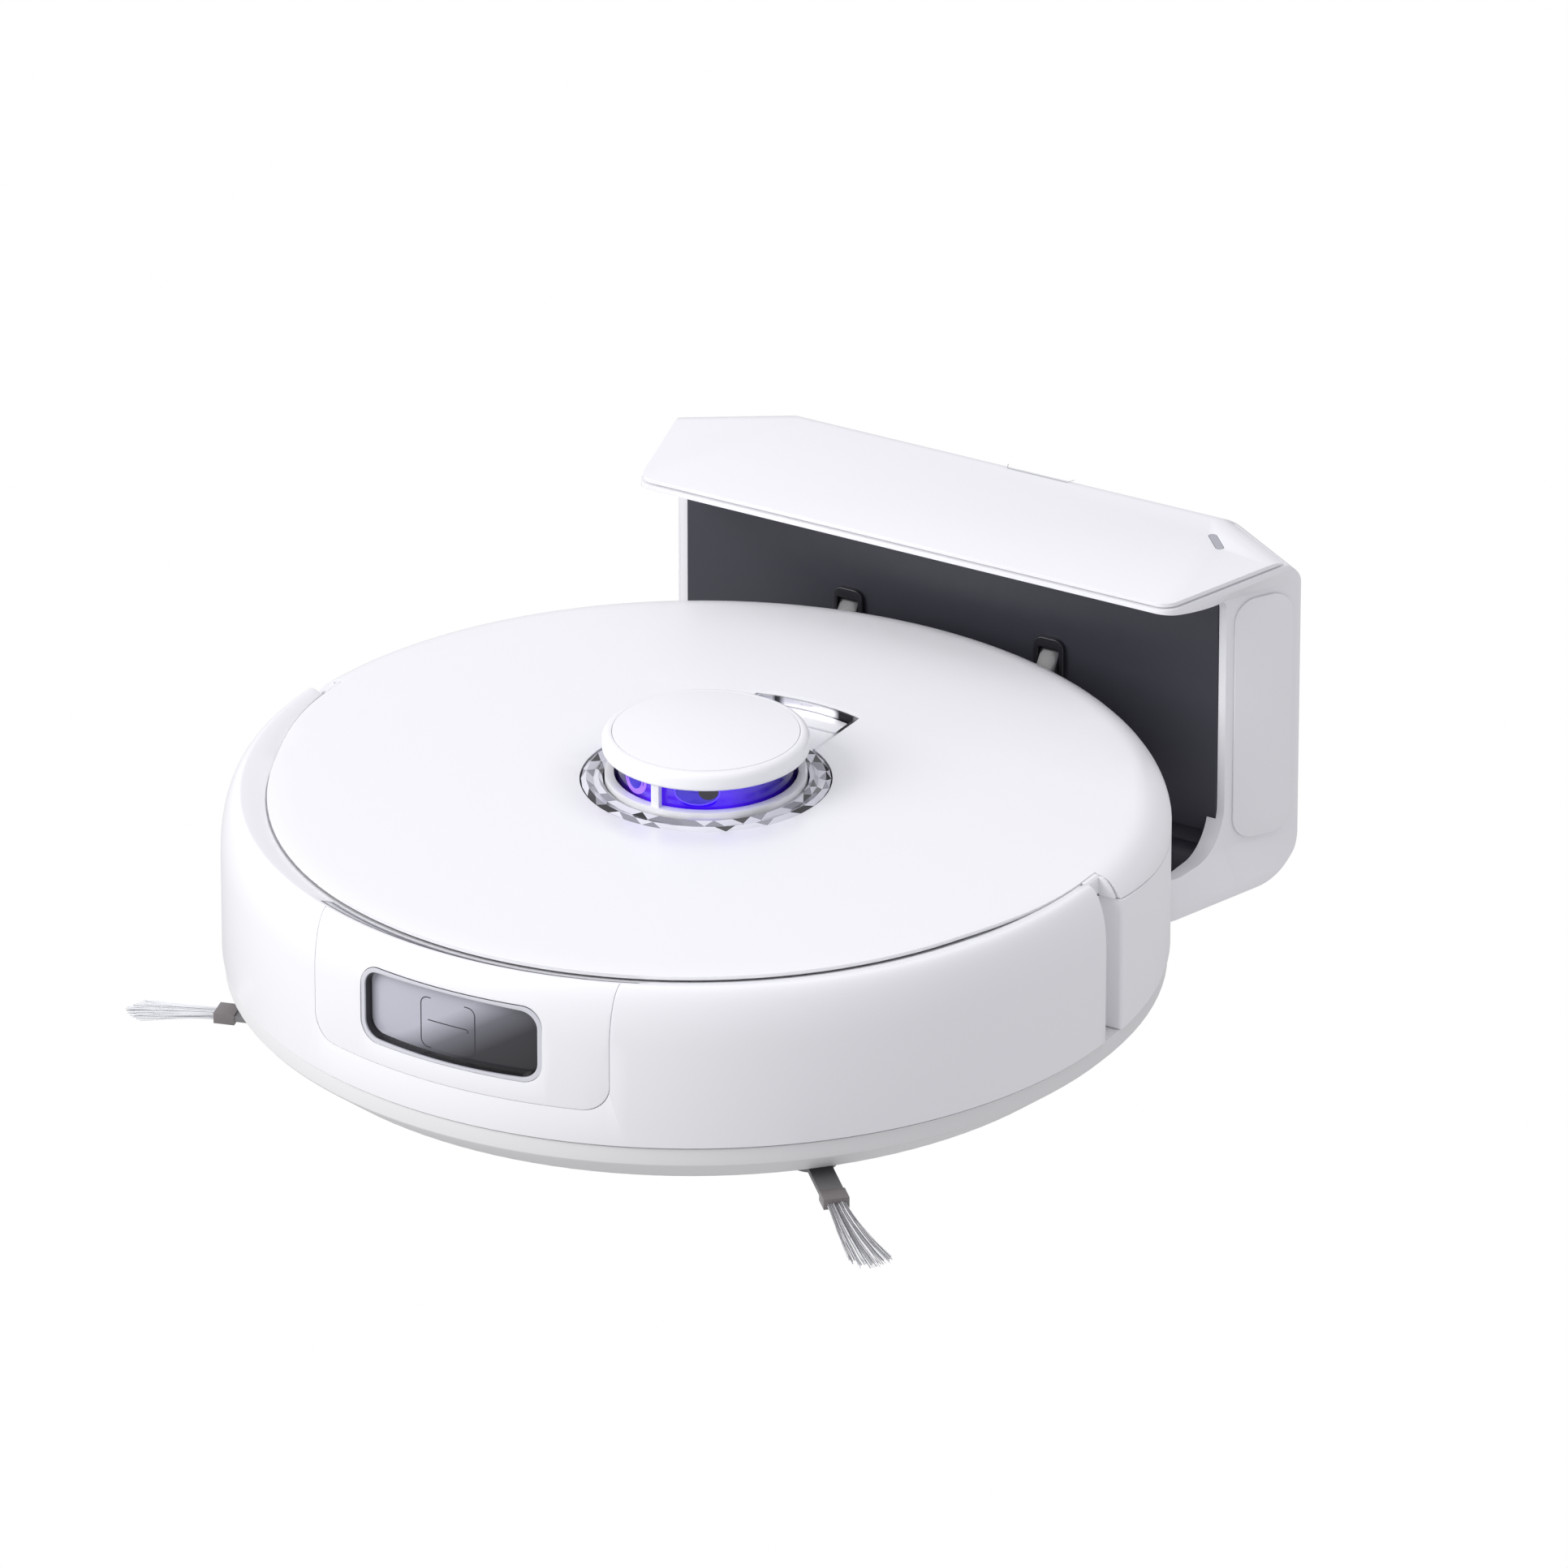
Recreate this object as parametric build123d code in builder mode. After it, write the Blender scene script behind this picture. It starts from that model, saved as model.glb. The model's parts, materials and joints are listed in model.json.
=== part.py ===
from build123d import *
from math import cos, sin, radians, sqrt
import os

# A round robot vacuum with a lidar tower, backed into its C-shaped charging dock.
# Millimetres. +Z is up. The origin is on the floor below the robot's turning centre.
# The robot's front faces -Y, and the dock stands at +Y.

# ---- driving dimensions: robot -------------------------------------------------------------
BODY_R = 175.0          # the bumper, and the rear shell, are this round
REAR_SHIFT = 4.5        # the rear half's circle is centred this far back
SKIRT_LOW = 22.0        # lower edge of the grey skirt
SEAM = 30.0             # seam between the skirt and the bumper
CREST_R = 167.0         # top of the bumper's rounded shoulder
CREST_Z = 92.5
WALL_TOP = 69.0         # where the bumper's wall starts to round over
COVER_R = 157.5         # front edge of the top cover
COVER_Z = 91.2          # its height there
COVER_CROWN = 92.6      # and at its middle
CHANNEL = (2.0, 14.5)   # the recess between bumper and rear shell, along Y
FLOOR_PLATE = (12.0, 15.5)      # chassis floor, low and high
DECK = (80.0, 82.4)             # inner deck below the cover
BUMPER_TRAVEL = 2.5

LIDAR_Y = 9.5           # centre of the lidar tower
LIDAR_TOP = 111.8
CAP_R = 38.6
RING_R = 46.4           # outside of the crystal ring
WINDOW = (95.6, 104.8)  # the tower's open window, low and high

WHEEL_Y = 6.0           # drive wheels
WHEEL_R = 32.0
WHEEL_X = (104.5, 123.5)
PIVOT = (52.0, 40.0)    # suspension pivot, (Y, Z)
BRUSH_Y = 30.0          # main brush
BRUSH_Z = 16.8
FAN = (95.0, 46.0)      # suction fan axis, (Y, Z)
SIDE_HUB = (106.0, -92.0)       # side brush hubs, mirrored in X
SIDE_ANGLES = {"right": -47.0, "left": 196.0}   # where the visible arm points
CASTER_Y = -128.0
CASTER_R = 12.0
CASTER_TRAIL = 3.0
BIN = ((-66.0, 66.0), (90.0, 145.0), (22.0, 78.0))

# ---- driving dimensions: dock --------------------------------------------------------------
DOCK_FRONT = 152.0
DOCK_BACK = 241.0
DOCK_TOP = 133.0
FRONT_HALF = 115.5      # half width at the front edge
CORNER = (136.0, 221.0) # widest point, where the sides meet the back chamfers
BACK_HALF = 105.0
MOUTH = (18.5, 121.5)   # top of the base arm, underside of the roof
CHEEK = (119.5, 190.0)  # front edge of each side cheek
PANEL_Y = 194.0         # dark back panel
SKIN_Z = 131.4          # underside of the raised roof skin
LIP_Z = 128.8           # underside of the roof at its front edge
SKIN_BACK = 234.0       # back edge of the roof skin
SHOULDER_R = 18.0       # rounding of the chamfered back corners at the top
HEEL_R = 22.0           # and at the bottom
CONTACT_X = 44.0        # charging contacts, each side of the middle

os.makedirs("parts", exist_ok=True)


def save(piece, name):
    """Label a finished sub-part and write its STEP file."""
    piece.label = name
    export_step(piece, f"parts/{name}.step")


def block(x, y, z, mode=Mode.ADD):
    """A block in the part being built, between its low and high ends."""
    with Locations(((x[0] + x[1]) / 2, (y[0] + y[1]) / 2, (z[0] + z[1]) / 2)):
        Box(x[1] - x[0], y[1] - y[0], z[1] - z[0], mode=mode)


def drum(x, y, radius, z, mode=Mode.ADD):
    """An upright cylinder."""
    with Locations((x, y, (z[0] + z[1]) / 2)):
        Cylinder(radius, z[1] - z[0], mode=mode)


def rod(y, z, radius, x, mode=Mode.ADD):
    """A cylinder lying along X."""
    with Locations(Location(((x[0] + x[1]) / 2, y, z), (0, 90, 0))):
        Cylinder(radius, x[1] - x[0], mode=mode)


def plan_disc(radius, z, mode=Mode.ADD):
    """A slab with the robot's outline: a front circle and a rear one REAR_SHIFT behind it."""
    with BuildSketch(Plane.XY.offset(z[0])) as plan:
        Circle(radius)
        with Locations((0, REAR_SHIFT)):
            Circle(radius)
    extrude(plan.sketch, amount=z[1] - z[0], mode=mode)


def front_view(width, height, corner, z, depth, taper=0, y=-180.0):
    """A rounded rectangle in the front view, run back from y by depth."""
    with BuildSketch(Plane.XZ.offset(-y)) as face:
        with Locations((0, z)):
            RectangleRounded(width, height, corner)
    return extrude(face.sketch, amount=-depth, taper=taper, mode=Mode.PRIVATE)


def seam_height(y):
    """Height of the sloping seam between the rear shell and the top cover."""
    return 83.0 - 0.1146 * (y - CHANNEL[1])


def below_seam(offset, far=200.0):
    """Everything below the rear seam, behind the channel's rear edge."""
    near = CHANNEL[1] - 30.0
    with BuildSketch(Plane.YZ.offset(-200.0)) as side:
        Polygon(
            (near, 0),
            (far, 0),
            (far, seam_height(far) + offset),
            (near, seam_height(near) + offset),
            align=None,
        )
    return extrude(side.sketch, amount=400.0, mode=Mode.PRIVATE)


def bumper_section(inset):
    """The bumper's outer line pushed in by inset: wall, elliptical shoulder, crest."""
    wall = BODY_R - inset
    Line((wall, SEAM + 0.6), (wall, WALL_TOP))
    EllipticalCenterArc(
        (CREST_R, WALL_TOP), BODY_R - CREST_R - inset, CREST_Z - WALL_TOP - inset,
        start_angle=0, arc_size=90,
    )


def cover_outline(height):
    """The cover's plan: a front arc that eases out, then steps out to the rear circle."""
    side_x = 162.5
    start = (sqrt(COVER_R ** 2 - 60.0 ** 2), -60.0)
    tangent = (60.0 / COVER_R, start[0] / COVER_R)
    with BuildSketch(Plane.XY.offset(height)) as outline:
        with BuildLine():
            ThreePointArc((-start[0], start[1]), (0, -COVER_R), start)
            Spline(start, (side_x, 6.0), tangents=(tangent, (0, 1)))
            Line((side_x, 6.0), (side_x, CHANNEL[1] + 0.6))
            Line((side_x, CHANNEL[1] + 0.6), (-side_x, CHANNEL[1] + 0.6))
            Line((-side_x, CHANNEL[1] + 0.6), (-side_x, 6.0))
            Spline((-side_x, 6.0), (-start[0], start[1]), tangents=((0, -1), (tangent[0], -tangent[1])))
        make_face()
        with BuildSketch(Plane.XY, mode=Mode.ADD):
            with Locations((0, REAR_SHIFT)):
                Circle(BODY_R)
            with Locations((0, CHANNEL[1] + 0.6 - 200)):
                Rectangle(400, 400, mode=Mode.SUBTRACT)
        steps = outline.sketch.vertices().filter_by(
            lambda corner: abs(corner.Y - CHANNEL[1] - 0.6) < 0.1)
        fillet(steps, radius=3.0)
    return outline.sketch


# ============================================================================================
# Chassis
# ============================================================================================
with BuildPart() as chassis_base:
    plan_disc(160.0, (FLOOR_PLATE[0], DECK[0]))
    plan_disc(157.5, (FLOOR_PLATE[1], DECK[0] + 1), Mode.SUBTRACT)
    # opening in the front wall for the sensor module
    block((-48, 48), (-170, -140), (44, DECK[0] + 1), Mode.SUBTRACT)
    # caster socket: a cup with a stem hole in its roof
    drum(0, CASTER_Y, 21.0, (FLOOR_PLATE[1], 40.0))
    drum(0, CASTER_Y, 17.6, (0, 37.0), Mode.SUBTRACT)
    drum(0, CASTER_Y, 4.05, (30, 60), Mode.SUBTRACT)
    # suspension brackets, two each side, bored for the pivot pin
    for side in (-1, 1):
        for low, high in ((85.0, 89.0), (104.2, 107.5)):
            ends = sorted((side * low, side * high))
            block(ends, (PIVOT[0] - 7, PIVOT[0] + 7), (FLOOR_PLATE[0], PIVOT[1] + 8))
    rod(PIVOT[0], PIVOT[1], 4.05, (-108, 108), Mode.SUBTRACT)
    # wells for the drive modules and wheels
    for side in (-1, 1):
        well = sorted((side * 89.6, side * 103.9))
        block(well, (-32, 66), (0, FLOOR_PLATE[1] + 0.1), Mode.SUBTRACT)
        well = sorted((side * 103.8, side * 127.0))
        block(well, (-32, 44), (0, FLOOR_PLATE[1] + 0.1), Mode.SUBTRACT)
    # openings for the main brush, the battery door and the side brush shafts
    block((-84.4, 84.4), (9.6, 50.4), (0, 20), Mode.SUBTRACT)
    block((-36, 36), (-100, -44), (0, 20), Mode.SUBTRACT)
    for side in (-1, 1):
        drum(side * SIDE_HUB[0], SIDE_HUB[1], 4.5, (0, 20), Mode.SUBTRACT)
save(chassis_base.part, "chassis_base")

with BuildPart() as lower_skirt:
    # a slanting underside from the chassis floor out to a short upright band
    with BuildSketch(Plane.XZ) as skirt_section:
        with BuildLine():
            Polyline(
                (160.0, SEAM - 0.3), (174.0, SEAM - 0.3), (174.0, SKIRT_LOW + 1.2),
                (173.0, SKIRT_LOW), (160.0, FLOOR_PLATE[0]), close=True,
            )
        make_face()
    revolve(axis=Axis.Z)
    add(lower_skirt.part.moved(Location((0, REAR_SHIFT, 0))))
    plan_disc(160.0, (0, 60), Mode.SUBTRACT)
save(lower_skirt.part, "lower_skirt")

with BuildPart() as rear_side_shell:
    drum(0, REAR_SHIFT, BODY_R, (SEAM + 0.2, CREST_Z))
    drum(0, REAR_SHIFT, BODY_R - 3.0, (0, 100), Mode.SUBTRACT)
    block((-200, 200), (-200, CHANNEL[1]), (0, 100), Mode.SUBTRACT)
    # the inner wall of the channel behind each end of the bumper, and the lip beside it
    for side in (-1, 1):
        ends = sorted((side * 162.6, side * 172.4))
        block(ends, (CHANNEL[1], CHANNEL[1] + 2.6), (SEAM + 0.2, 84.0))
        ends = sorted((side * 162.6, side * 165.2))
        block(ends, (CHANNEL[0] - 14, CHANNEL[1] + 2.6), (SEAM + 0.2, 84.0))
    add(below_seam(-0.2), mode=Mode.INTERSECT)
    upright = rear_side_shell.part.edges().filter_by(Axis.Z)
    fillet([edge for edge in upright if abs(edge.center().Y - CHANNEL[1]) < 0.1
            and abs(edge.center().X) > 172], radius=1.6)
save(rear_side_shell.part, "rear_side_shell")

with BuildPart() as top_deck:
    plan_disc(160.0, DECK)
    drum(0, LIDAR_Y, 34.0, (0, 100), Mode.SUBTRACT)
    block((BIN[0][0] - 1, BIN[0][1] + 1), (BIN[1][0] - 1, BIN[1][1] + 1), (0, 100), Mode.SUBTRACT)
save(top_deck.part, "top_deck")

with BuildPart() as main_pcb:
    block((-66, 66), (-104, -30), (58.0, 59.6))
    for x, y, wide, deep, tall in (
        (0, -66, 18, 18, 1.6), (-34, -80, 12, 12, 1.4), (34, -52, 14, 10, 1.4),
        (-46, -44, 20, 8, 6), (46, -88, 20, 8, 6), (10, -92, 9, 9, 4),
    ):
        block((x - wide / 2, x + wide / 2), (y - deep / 2, y + deep / 2), (59.6, 59.6 + tall))
save(main_pcb.part, "main_pcb")

with BuildPart() as battery_pack:
    with BuildSketch(Plane.XY.offset(15.8)):
        with Locations((0, -71)):
            RectangleRounded(70, 56, 4)
    extrude(amount=36.0)
save(battery_pack.part, "battery_pack")

with BuildPart() as battery_door:
    with BuildSketch(Plane.XY.offset(FLOOR_PLATE[0])):
        with Locations((0, -72)):
            RectangleRounded(71, 55, 1)
    extrude(amount=2.5)
save(battery_door.part, "battery_door")

with BuildPart() as suction_motor:
    # fan volute and, behind it, the motor can; the fan draws from the bin's filter
    rod(FAN[0], FAN[1], 24.0, (-92.0, -69.5))
    rod(FAN[0], FAN[1], 14.0, (-106.0, -92.0))
    rod(FAN[0], FAN[1], 21.0, (-90.0, -71.5), Mode.SUBTRACT)
    rod(FAN[0], FAN[1], 11.0, (-72.0, -60.0), Mode.SUBTRACT)
    rod(FAN[0], FAN[1], 2.55, (-102.0, -89.0), Mode.SUBTRACT)
    block((-88, -75), (112, 121), (FAN[1] - 7, FAN[1] + 7), Mode.SUBTRACT)
save(suction_motor.part, "suction_motor")

with BuildPart() as brush_housing:
    block((-84, 84), (10, 50), (12.4, 38))
    rod(BRUSH_Y, BRUSH_Z, 17.5, (-81, 81), Mode.SUBTRACT)
    block((-81, 81), (BRUSH_Y - 17.5, BRUSH_Y + 17.5), (0, BRUSH_Z), Mode.SUBTRACT)
    # dust duct back to the bin
    block((-24, 24), (48, 88.6), (22, 36))
    block((-22, 22), (40, 90), (24, 34), Mode.SUBTRACT)
    rod(BRUSH_Y, BRUSH_Z, 3.06, (-90, 90), Mode.SUBTRACT)
save(brush_housing.part, "brush_housing")

with BuildPart() as brush_cover:
    block((-84, 84), (10, 50), (9.6, 12.2))
    block((-80, 80), (BRUSH_Y - 16.5, BRUSH_Y + 16.5), (0, 20), Mode.SUBTRACT)
save(brush_cover.part, "brush_cover")

with BuildPart() as brush_motor:
    rod(68, 34, 10.5, (30, 78))
    block((72, 80), (58, 78), (22, 46))
save(brush_motor.part, "brush_motor")

with BuildPart() as side_brush_motors:
    for side in (-1, 1):
        drum(side * SIDE_HUB[0], SIDE_HUB[1], 13.0, (FLOOR_PLATE[1], 44.0))
        drum(side * SIDE_HUB[0], SIDE_HUB[1], 3.06, (0, 26.0), Mode.SUBTRACT)
save(side_brush_motors.part, "side_brush_motors")

with BuildPart() as cliff_sensors:
    # downward-looking windows along the front edge of the floor plate
    for angle in (-145, -110, -70, -35):
        spot = (147 * cos(radians(angle)), 147 * sin(radians(angle)))
        block((spot[0] - 8, spot[0] + 8), (spot[1] - 4, spot[1] + 4), (11.0, FLOOR_PLATE[0]))
save(cliff_sensors.part, "cliff_sensors")

with BuildPart() as chassis_screws:
    for angle in (20, 160, 198, 232, 308, 342):
        drum(150 * cos(radians(angle)), 150 * sin(radians(angle)), 3.2, (10.6, FLOOR_PLATE[0]))
save(chassis_screws.part, "chassis_screws")

with BuildPart() as bumper_switches:
    for angle in (-135, -45):
        with Locations(Location((161.6 * cos(radians(angle)), 161.6 * sin(radians(angle)), 56),
                                (0, 0, angle))):
            Box(3.0, 16, 10)
save(bumper_switches.part, "bumper_switches")

with BuildPart() as charge_plates:
    # two plated strips on the back of the rear shell
    drum(0, REAR_SHIFT, BODY_R + 0.6, (40, 58))
    drum(0, REAR_SHIFT, BODY_R, (0, 100), Mode.SUBTRACT)
    block((-200, 200), (-200, 0), (0, 100), Mode.SUBTRACT)
    block((-CONTACT_X + 9, CONTACT_X - 9), (0, 200), (0, 100), Mode.SUBTRACT)
    for side in (-1, 1):
        ends = sorted((side * (CONTACT_X + 9), side * 200))
        block(ends, (0, 200), (0, 100), Mode.SUBTRACT)
save(charge_plates.part, "charge_plates")

# ============================================================================================
# Lidar tower, crystal ring and button recess
# ============================================================================================
with BuildPart() as lidar_motor:
    drum(0, LIDAR_Y, 33.0, (78.0, DECK[1]))
    drum(0, LIDAR_Y, 15.0, (62.0, 78.0))
    drum(0, LIDAR_Y, 3.05, (66.0, 100.0), Mode.SUBTRACT)
save(lidar_motor.part, "lidar_motor")

with BuildPart() as lidar_housing:
    # white seat round the tower and the fixed floor of the button recess
    drum(0, LIDAR_Y, 46.6, (DECK[1], 87.0))
    block((-20.6, 20.6), (LIDAR_Y, 74.0), (DECK[1], 88.4))
    drum(0, LIDAR_Y, 46.6, (87.0, 100.0), Mode.SUBTRACT)
    drum(0, LIDAR_Y, 38.2, (0, 100), Mode.SUBTRACT)
save(lidar_housing.part, "lidar_housing")

with BuildPart() as crystal_ring:
    with BuildSketch(Plane.XZ) as ring_section:
        with BuildLine():
            Polyline((38.4, 87.2), (46.4, 87.2), (RING_R, 92.0), (45.4, 93.0), (41.0, 90.4),
                     (38.4, 92.2), close=True)
        make_face()
    revolve(axis=Axis.Z)
crystal_ring.part.move(Location((0, LIDAR_Y, 0)))
save(crystal_ring.part, "crystal_ring")

with BuildPart() as button_surround:
    # bright walls round three sides of the recess
    block((-22.0, 22.0), (LIDAR_Y + 30, LIDAR_Y + 90), (84.0, 92.2))
    drum(0, LIDAR_Y, 77.2, (80, 100), Mode.INTERSECT)
    block((-20.8, 20.8), (LIDAR_Y, LIDAR_Y + 90), (80, 100), Mode.SUBTRACT)
    with Locations((0, LIDAR_Y, 88.1)):
        Cylinder(77.2, 8.2)
    drum(0, LIDAR_Y, 76.0, (80, 100), Mode.SUBTRACT)
    for side in (-1, 1):
        ends = sorted((side * 22.0, side * 100))
        block(ends, (-100, 100), (80, 100), Mode.SUBTRACT)
    block((-30, 30), (-100, LIDAR_Y), (80, 100), Mode.SUBTRACT)
    for side in (-1, 1):
        ends = sorted((side * 20.8, side * 22.0))
        block(ends, (LIDAR_Y + 42.4, LIDAR_Y + 74.0), (84.0, 92.2))
save(button_surround.part, "button_surround")

with BuildPart() as home_button:
    block((-20.4, 20.4), (74.3, 100), (86.0, 89.2))
    drum(0, LIDAR_Y, 75.7, (80, 100), Mode.INTERSECT)
save(home_button.part, "home_button")

with BuildPart() as lidar_cage:
    # the cap's rim, then three posts and the lower ring
    drum(0, LIDAR_Y, CAP_R, (WINDOW[1], LIDAR_TOP))
    fillet(lidar_cage.faces().sort_by(Axis.Z)[-1].edges(), radius=3.0)
    fillet(lidar_cage.faces().sort_by(Axis.Z)[0].edges(), radius=1.2)
    drum(0, LIDAR_Y, CAP_R - 3.6, (LIDAR_TOP - 1.5, LIDAR_TOP + 1), Mode.SUBTRACT)
    drum(0, LIDAR_Y, 33.8, (WINDOW[1] - 1, LIDAR_TOP - 3.0), Mode.SUBTRACT)
    for turn in (-90, 30, 150):
        with Locations(Location((35.6 * cos(radians(turn)), LIDAR_Y + 35.6 * sin(radians(turn)),
                                 (WINDOW[0] + WINDOW[1]) / 2), (0, 0, turn))):
            Box(2.4, 3.2, WINDOW[1] - WINDOW[0] + 2.0)
    drum(0, LIDAR_Y, 37.6, (88.0, WINDOW[0]))
    drum(0, LIDAR_Y, 34.2, (80.0, WINDOW[0] + 1), Mode.SUBTRACT)
save(lidar_cage.part, "lidar_cage")

with BuildPart() as lidar_cap:
    drum(0, LIDAR_Y, CAP_R - 3.8, (LIDAR_TOP - 1.5, LIDAR_TOP + 0.1))
save(lidar_cap.part, "lidar_cap")

with BuildPart() as lidar_turret:
    drum(0, LIDAR_Y, 33.0, (84.0, 106.0))
    drum(0, LIDAR_Y, 3.0, (68.0, 84.0))
    # round emitter window and long receiver window, sunk into the turret's side
    for turn, wide in ((-112, 9.0), (-64, 15.0)):
        with BuildSketch(Plane(origin=(40 * cos(radians(turn)), LIDAR_Y + 40 * sin(radians(turn)),
                                       100.6), z_dir=(cos(radians(turn)), sin(radians(turn)), 0),
                               x_dir=(-sin(radians(turn)), cos(radians(turn)), 0))) as port:
            RectangleRounded(wide, 8.8, 4.3)
        extrude(amount=-12.0, mode=Mode.SUBTRACT)
save(lidar_turret.part, "lidar_turret")

# ============================================================================================
# Bumper
# ============================================================================================
PANEL_HALF = BODY_R * sin(radians(21.0))
WINDOW_Z = 67.0
WINDOW_SIZE = (77.0, 30.0)


def bumper_skin(depth, margin):
    """The outer layer of the bumper inside the front panel's outline."""
    with BuildPart() as skin:
        with BuildSketch(Plane.XZ):
            with BuildLine():
                bumper_section(0)
                bumper_section(depth)
                Line((BODY_R - depth, SEAM + 0.6), (BODY_R, SEAM + 0.6))
                Line((CREST_R, CREST_Z - depth), (CREST_R, CREST_Z))
            make_face()
        revolve(axis=Axis.Z)
        outline = front_view(2 * (PANEL_HALF + margin), 120.0, 10.0,
                             SEAM + 14.0 - margin + 60.0, 120.0)
        add(outline, mode=Mode.INTERSECT)
    return skin.part


with BuildPart() as bumper_shell:
    with BuildSketch(Plane.XZ) as bumper_profile:
        with BuildLine():
            bumper_section(0)
            bumper_section(2.6)
            Line((BODY_R - 2.6, SEAM + 0.6), (BODY_R, SEAM + 0.6))
            Polyline((CREST_R, CREST_Z), (158.6, 89.3), (155.9, 88.6), (155.9, 86.6),
                     (163.6, 86.6), (CREST_R, CREST_Z - 2.6))
        make_face()
    revolve(axis=Axis.Z)
    # end walls close the hollow section beside the channel
    with BuildSketch(Plane.XZ) as end_section:
        with BuildLine():
            bumper_section(0)
            Polyline((CREST_R, CREST_Z), (166.2, CREST_Z - 0.5), (166.2, SEAM + 0.6),
                     (BODY_R, SEAM + 0.6))
        make_face()
    end_ring = revolve(end_section.sketch, axis=Axis.Z, mode=Mode.PRIVATE)
    with BuildSketch(Plane.XY) as end_strip:
        with Locations((0, CHANNEL[0] - 1.3)):
            Rectangle(400, 2.6)
    end_slab = extrude(end_strip.sketch, amount=120, mode=Mode.PRIVATE)
    add(end_ring.intersect(end_slab))
    block((-200, 200), (CHANNEL[0], 200), (0, 100), Mode.SUBTRACT)
    # the ledge dips under the cover, with room for the bumper's travel
    cover_prism = extrude(cover_outline(88.4), amount=10, mode=Mode.PRIVATE)
    for shift in (-0.8, 0.8):
        add(cover_prism.moved(Location((shift, 0, 0))), mode=Mode.SUBTRACT)
    add(bumper_skin(1.2, 0.15), mode=Mode.SUBTRACT)
    add(front_view(WINDOW_SIZE[0] + 0.4, WINDOW_SIZE[1] + 0.4, 8.2, WINDOW_Z, 60.0),
        mode=Mode.SUBTRACT)
    # shallow seat for the smoked strip in the groove behind the crest
    with BuildSketch(Plane.XZ) as strip_seat:
        with BuildLine():
            Polyline((165.6, 91.2), (159.4, 88.85), (159.4, 96.0), (165.6, 96.0), close=True)
        make_face()
    seat = revolve(strip_seat.sketch, axis=Axis.Z, mode=Mode.PRIVATE)
    with BuildSketch(Plane.XY) as wedge:
        Polygon((0, 0), (-200 * sin(radians(24.2)), -200 * cos(radians(24.2))), (0, -230),
                (200 * sin(radians(24.2)), -200 * cos(radians(24.2))), align=None)
    sector = extrude(wedge.sketch, amount=120, mode=Mode.PRIVATE)
    add(seat.intersect(sector), mode=Mode.SUBTRACT)
save(bumper_shell.part, "bumper_shell")

with BuildPart() as front_panel:
    add(bumper_skin(1.05, -0.15))
    add(front_view(WINDOW_SIZE[0] + 0.4, WINDOW_SIZE[1] + 0.4, 8.2, WINDOW_Z, 60.0),
        mode=Mode.SUBTRACT)
save(front_panel.part, "front_panel")

with BuildPart() as top_strip:
    with BuildSketch(Plane.XZ) as strip_section:
        with BuildLine():
            Polyline((165.4, 91.15), (159.6, 88.95), (159.6, 89.4), (165.4, 91.8), close=True)
        make_face()
    revolve(axis=Axis.Z)
    with BuildSketch(Plane.XY) as strip_wedge:
        Polygon((0, 0), (-200 * sin(radians(24.0)), -200 * cos(radians(24.0))), (0, -230),
                (200 * sin(radians(24.0)), -200 * cos(radians(24.0))), align=None)
    extrude(amount=120, mode=Mode.INTERSECT)
save(top_strip.part, "top_strip")

with BuildPart() as window_bezel:
    drum(0, 0, BODY_R - 0.4, (SEAM + 10, 90))
    drum(0, 0, 166.4, (0, 100), Mode.SUBTRACT)
    add(front_view(WINDOW_SIZE[0], WINDOW_SIZE[1], 8.0, WINDOW_Z, 60.0), mode=Mode.INTERSECT)
    add(front_view(75.4, 28.4, 7.4, WINDOW_Z, 30.0, taper=12.0, y=-175.0), mode=Mode.SUBTRACT)
save(window_bezel.part, "window_bezel")

with BuildPart() as window_glass:
    drum(0, 0, 166.3, (SEAM + 10, 90))
    drum(0, 0, 164.6, (0, 100), Mode.SUBTRACT)
    add(front_view(WINDOW_SIZE[0], WINDOW_SIZE[1], 8.0, WINDOW_Z, 60.0), mode=Mode.INTERSECT)
save(window_glass.part, "window_glass")

with BuildPart() as sensor_module:
    block((-32, 32), (-161.0, -154.0), (54, 80))
    add(front_view(28.0, 22.0, 4.0, WINDOW_Z, 3.0, y=-161.6).moved(Location((13.5, 0, 0))))
save(sensor_module.part, "sensor_module")


# ============================================================================================
# Top cover
# ============================================================================================
def dome(drop, low):
    """The cover's domed top and rounded rear shoulder as a solid, pushed in by drop."""
    rim = BODY_R - 1.7 * drop
    with BuildPart() as made:
        with BuildSketch(Plane.XZ):
            with BuildLine():
                ThreePointArc((0, COVER_CROWN - drop), (90, COVER_CROWN - 0.35 - drop),
                              (162, COVER_Z - drop))
                TangentArc((162, COVER_Z - drop), (rim, 79.5), tangent=(1, -0.03))
                Polyline((rim, 79.5), (rim, low), (0, low), (0, COVER_CROWN - drop))
            make_face()
        revolve(axis=Axis.Z)
    return made.part.moved(Location((0, REAR_SHIFT, 0)))


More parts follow.
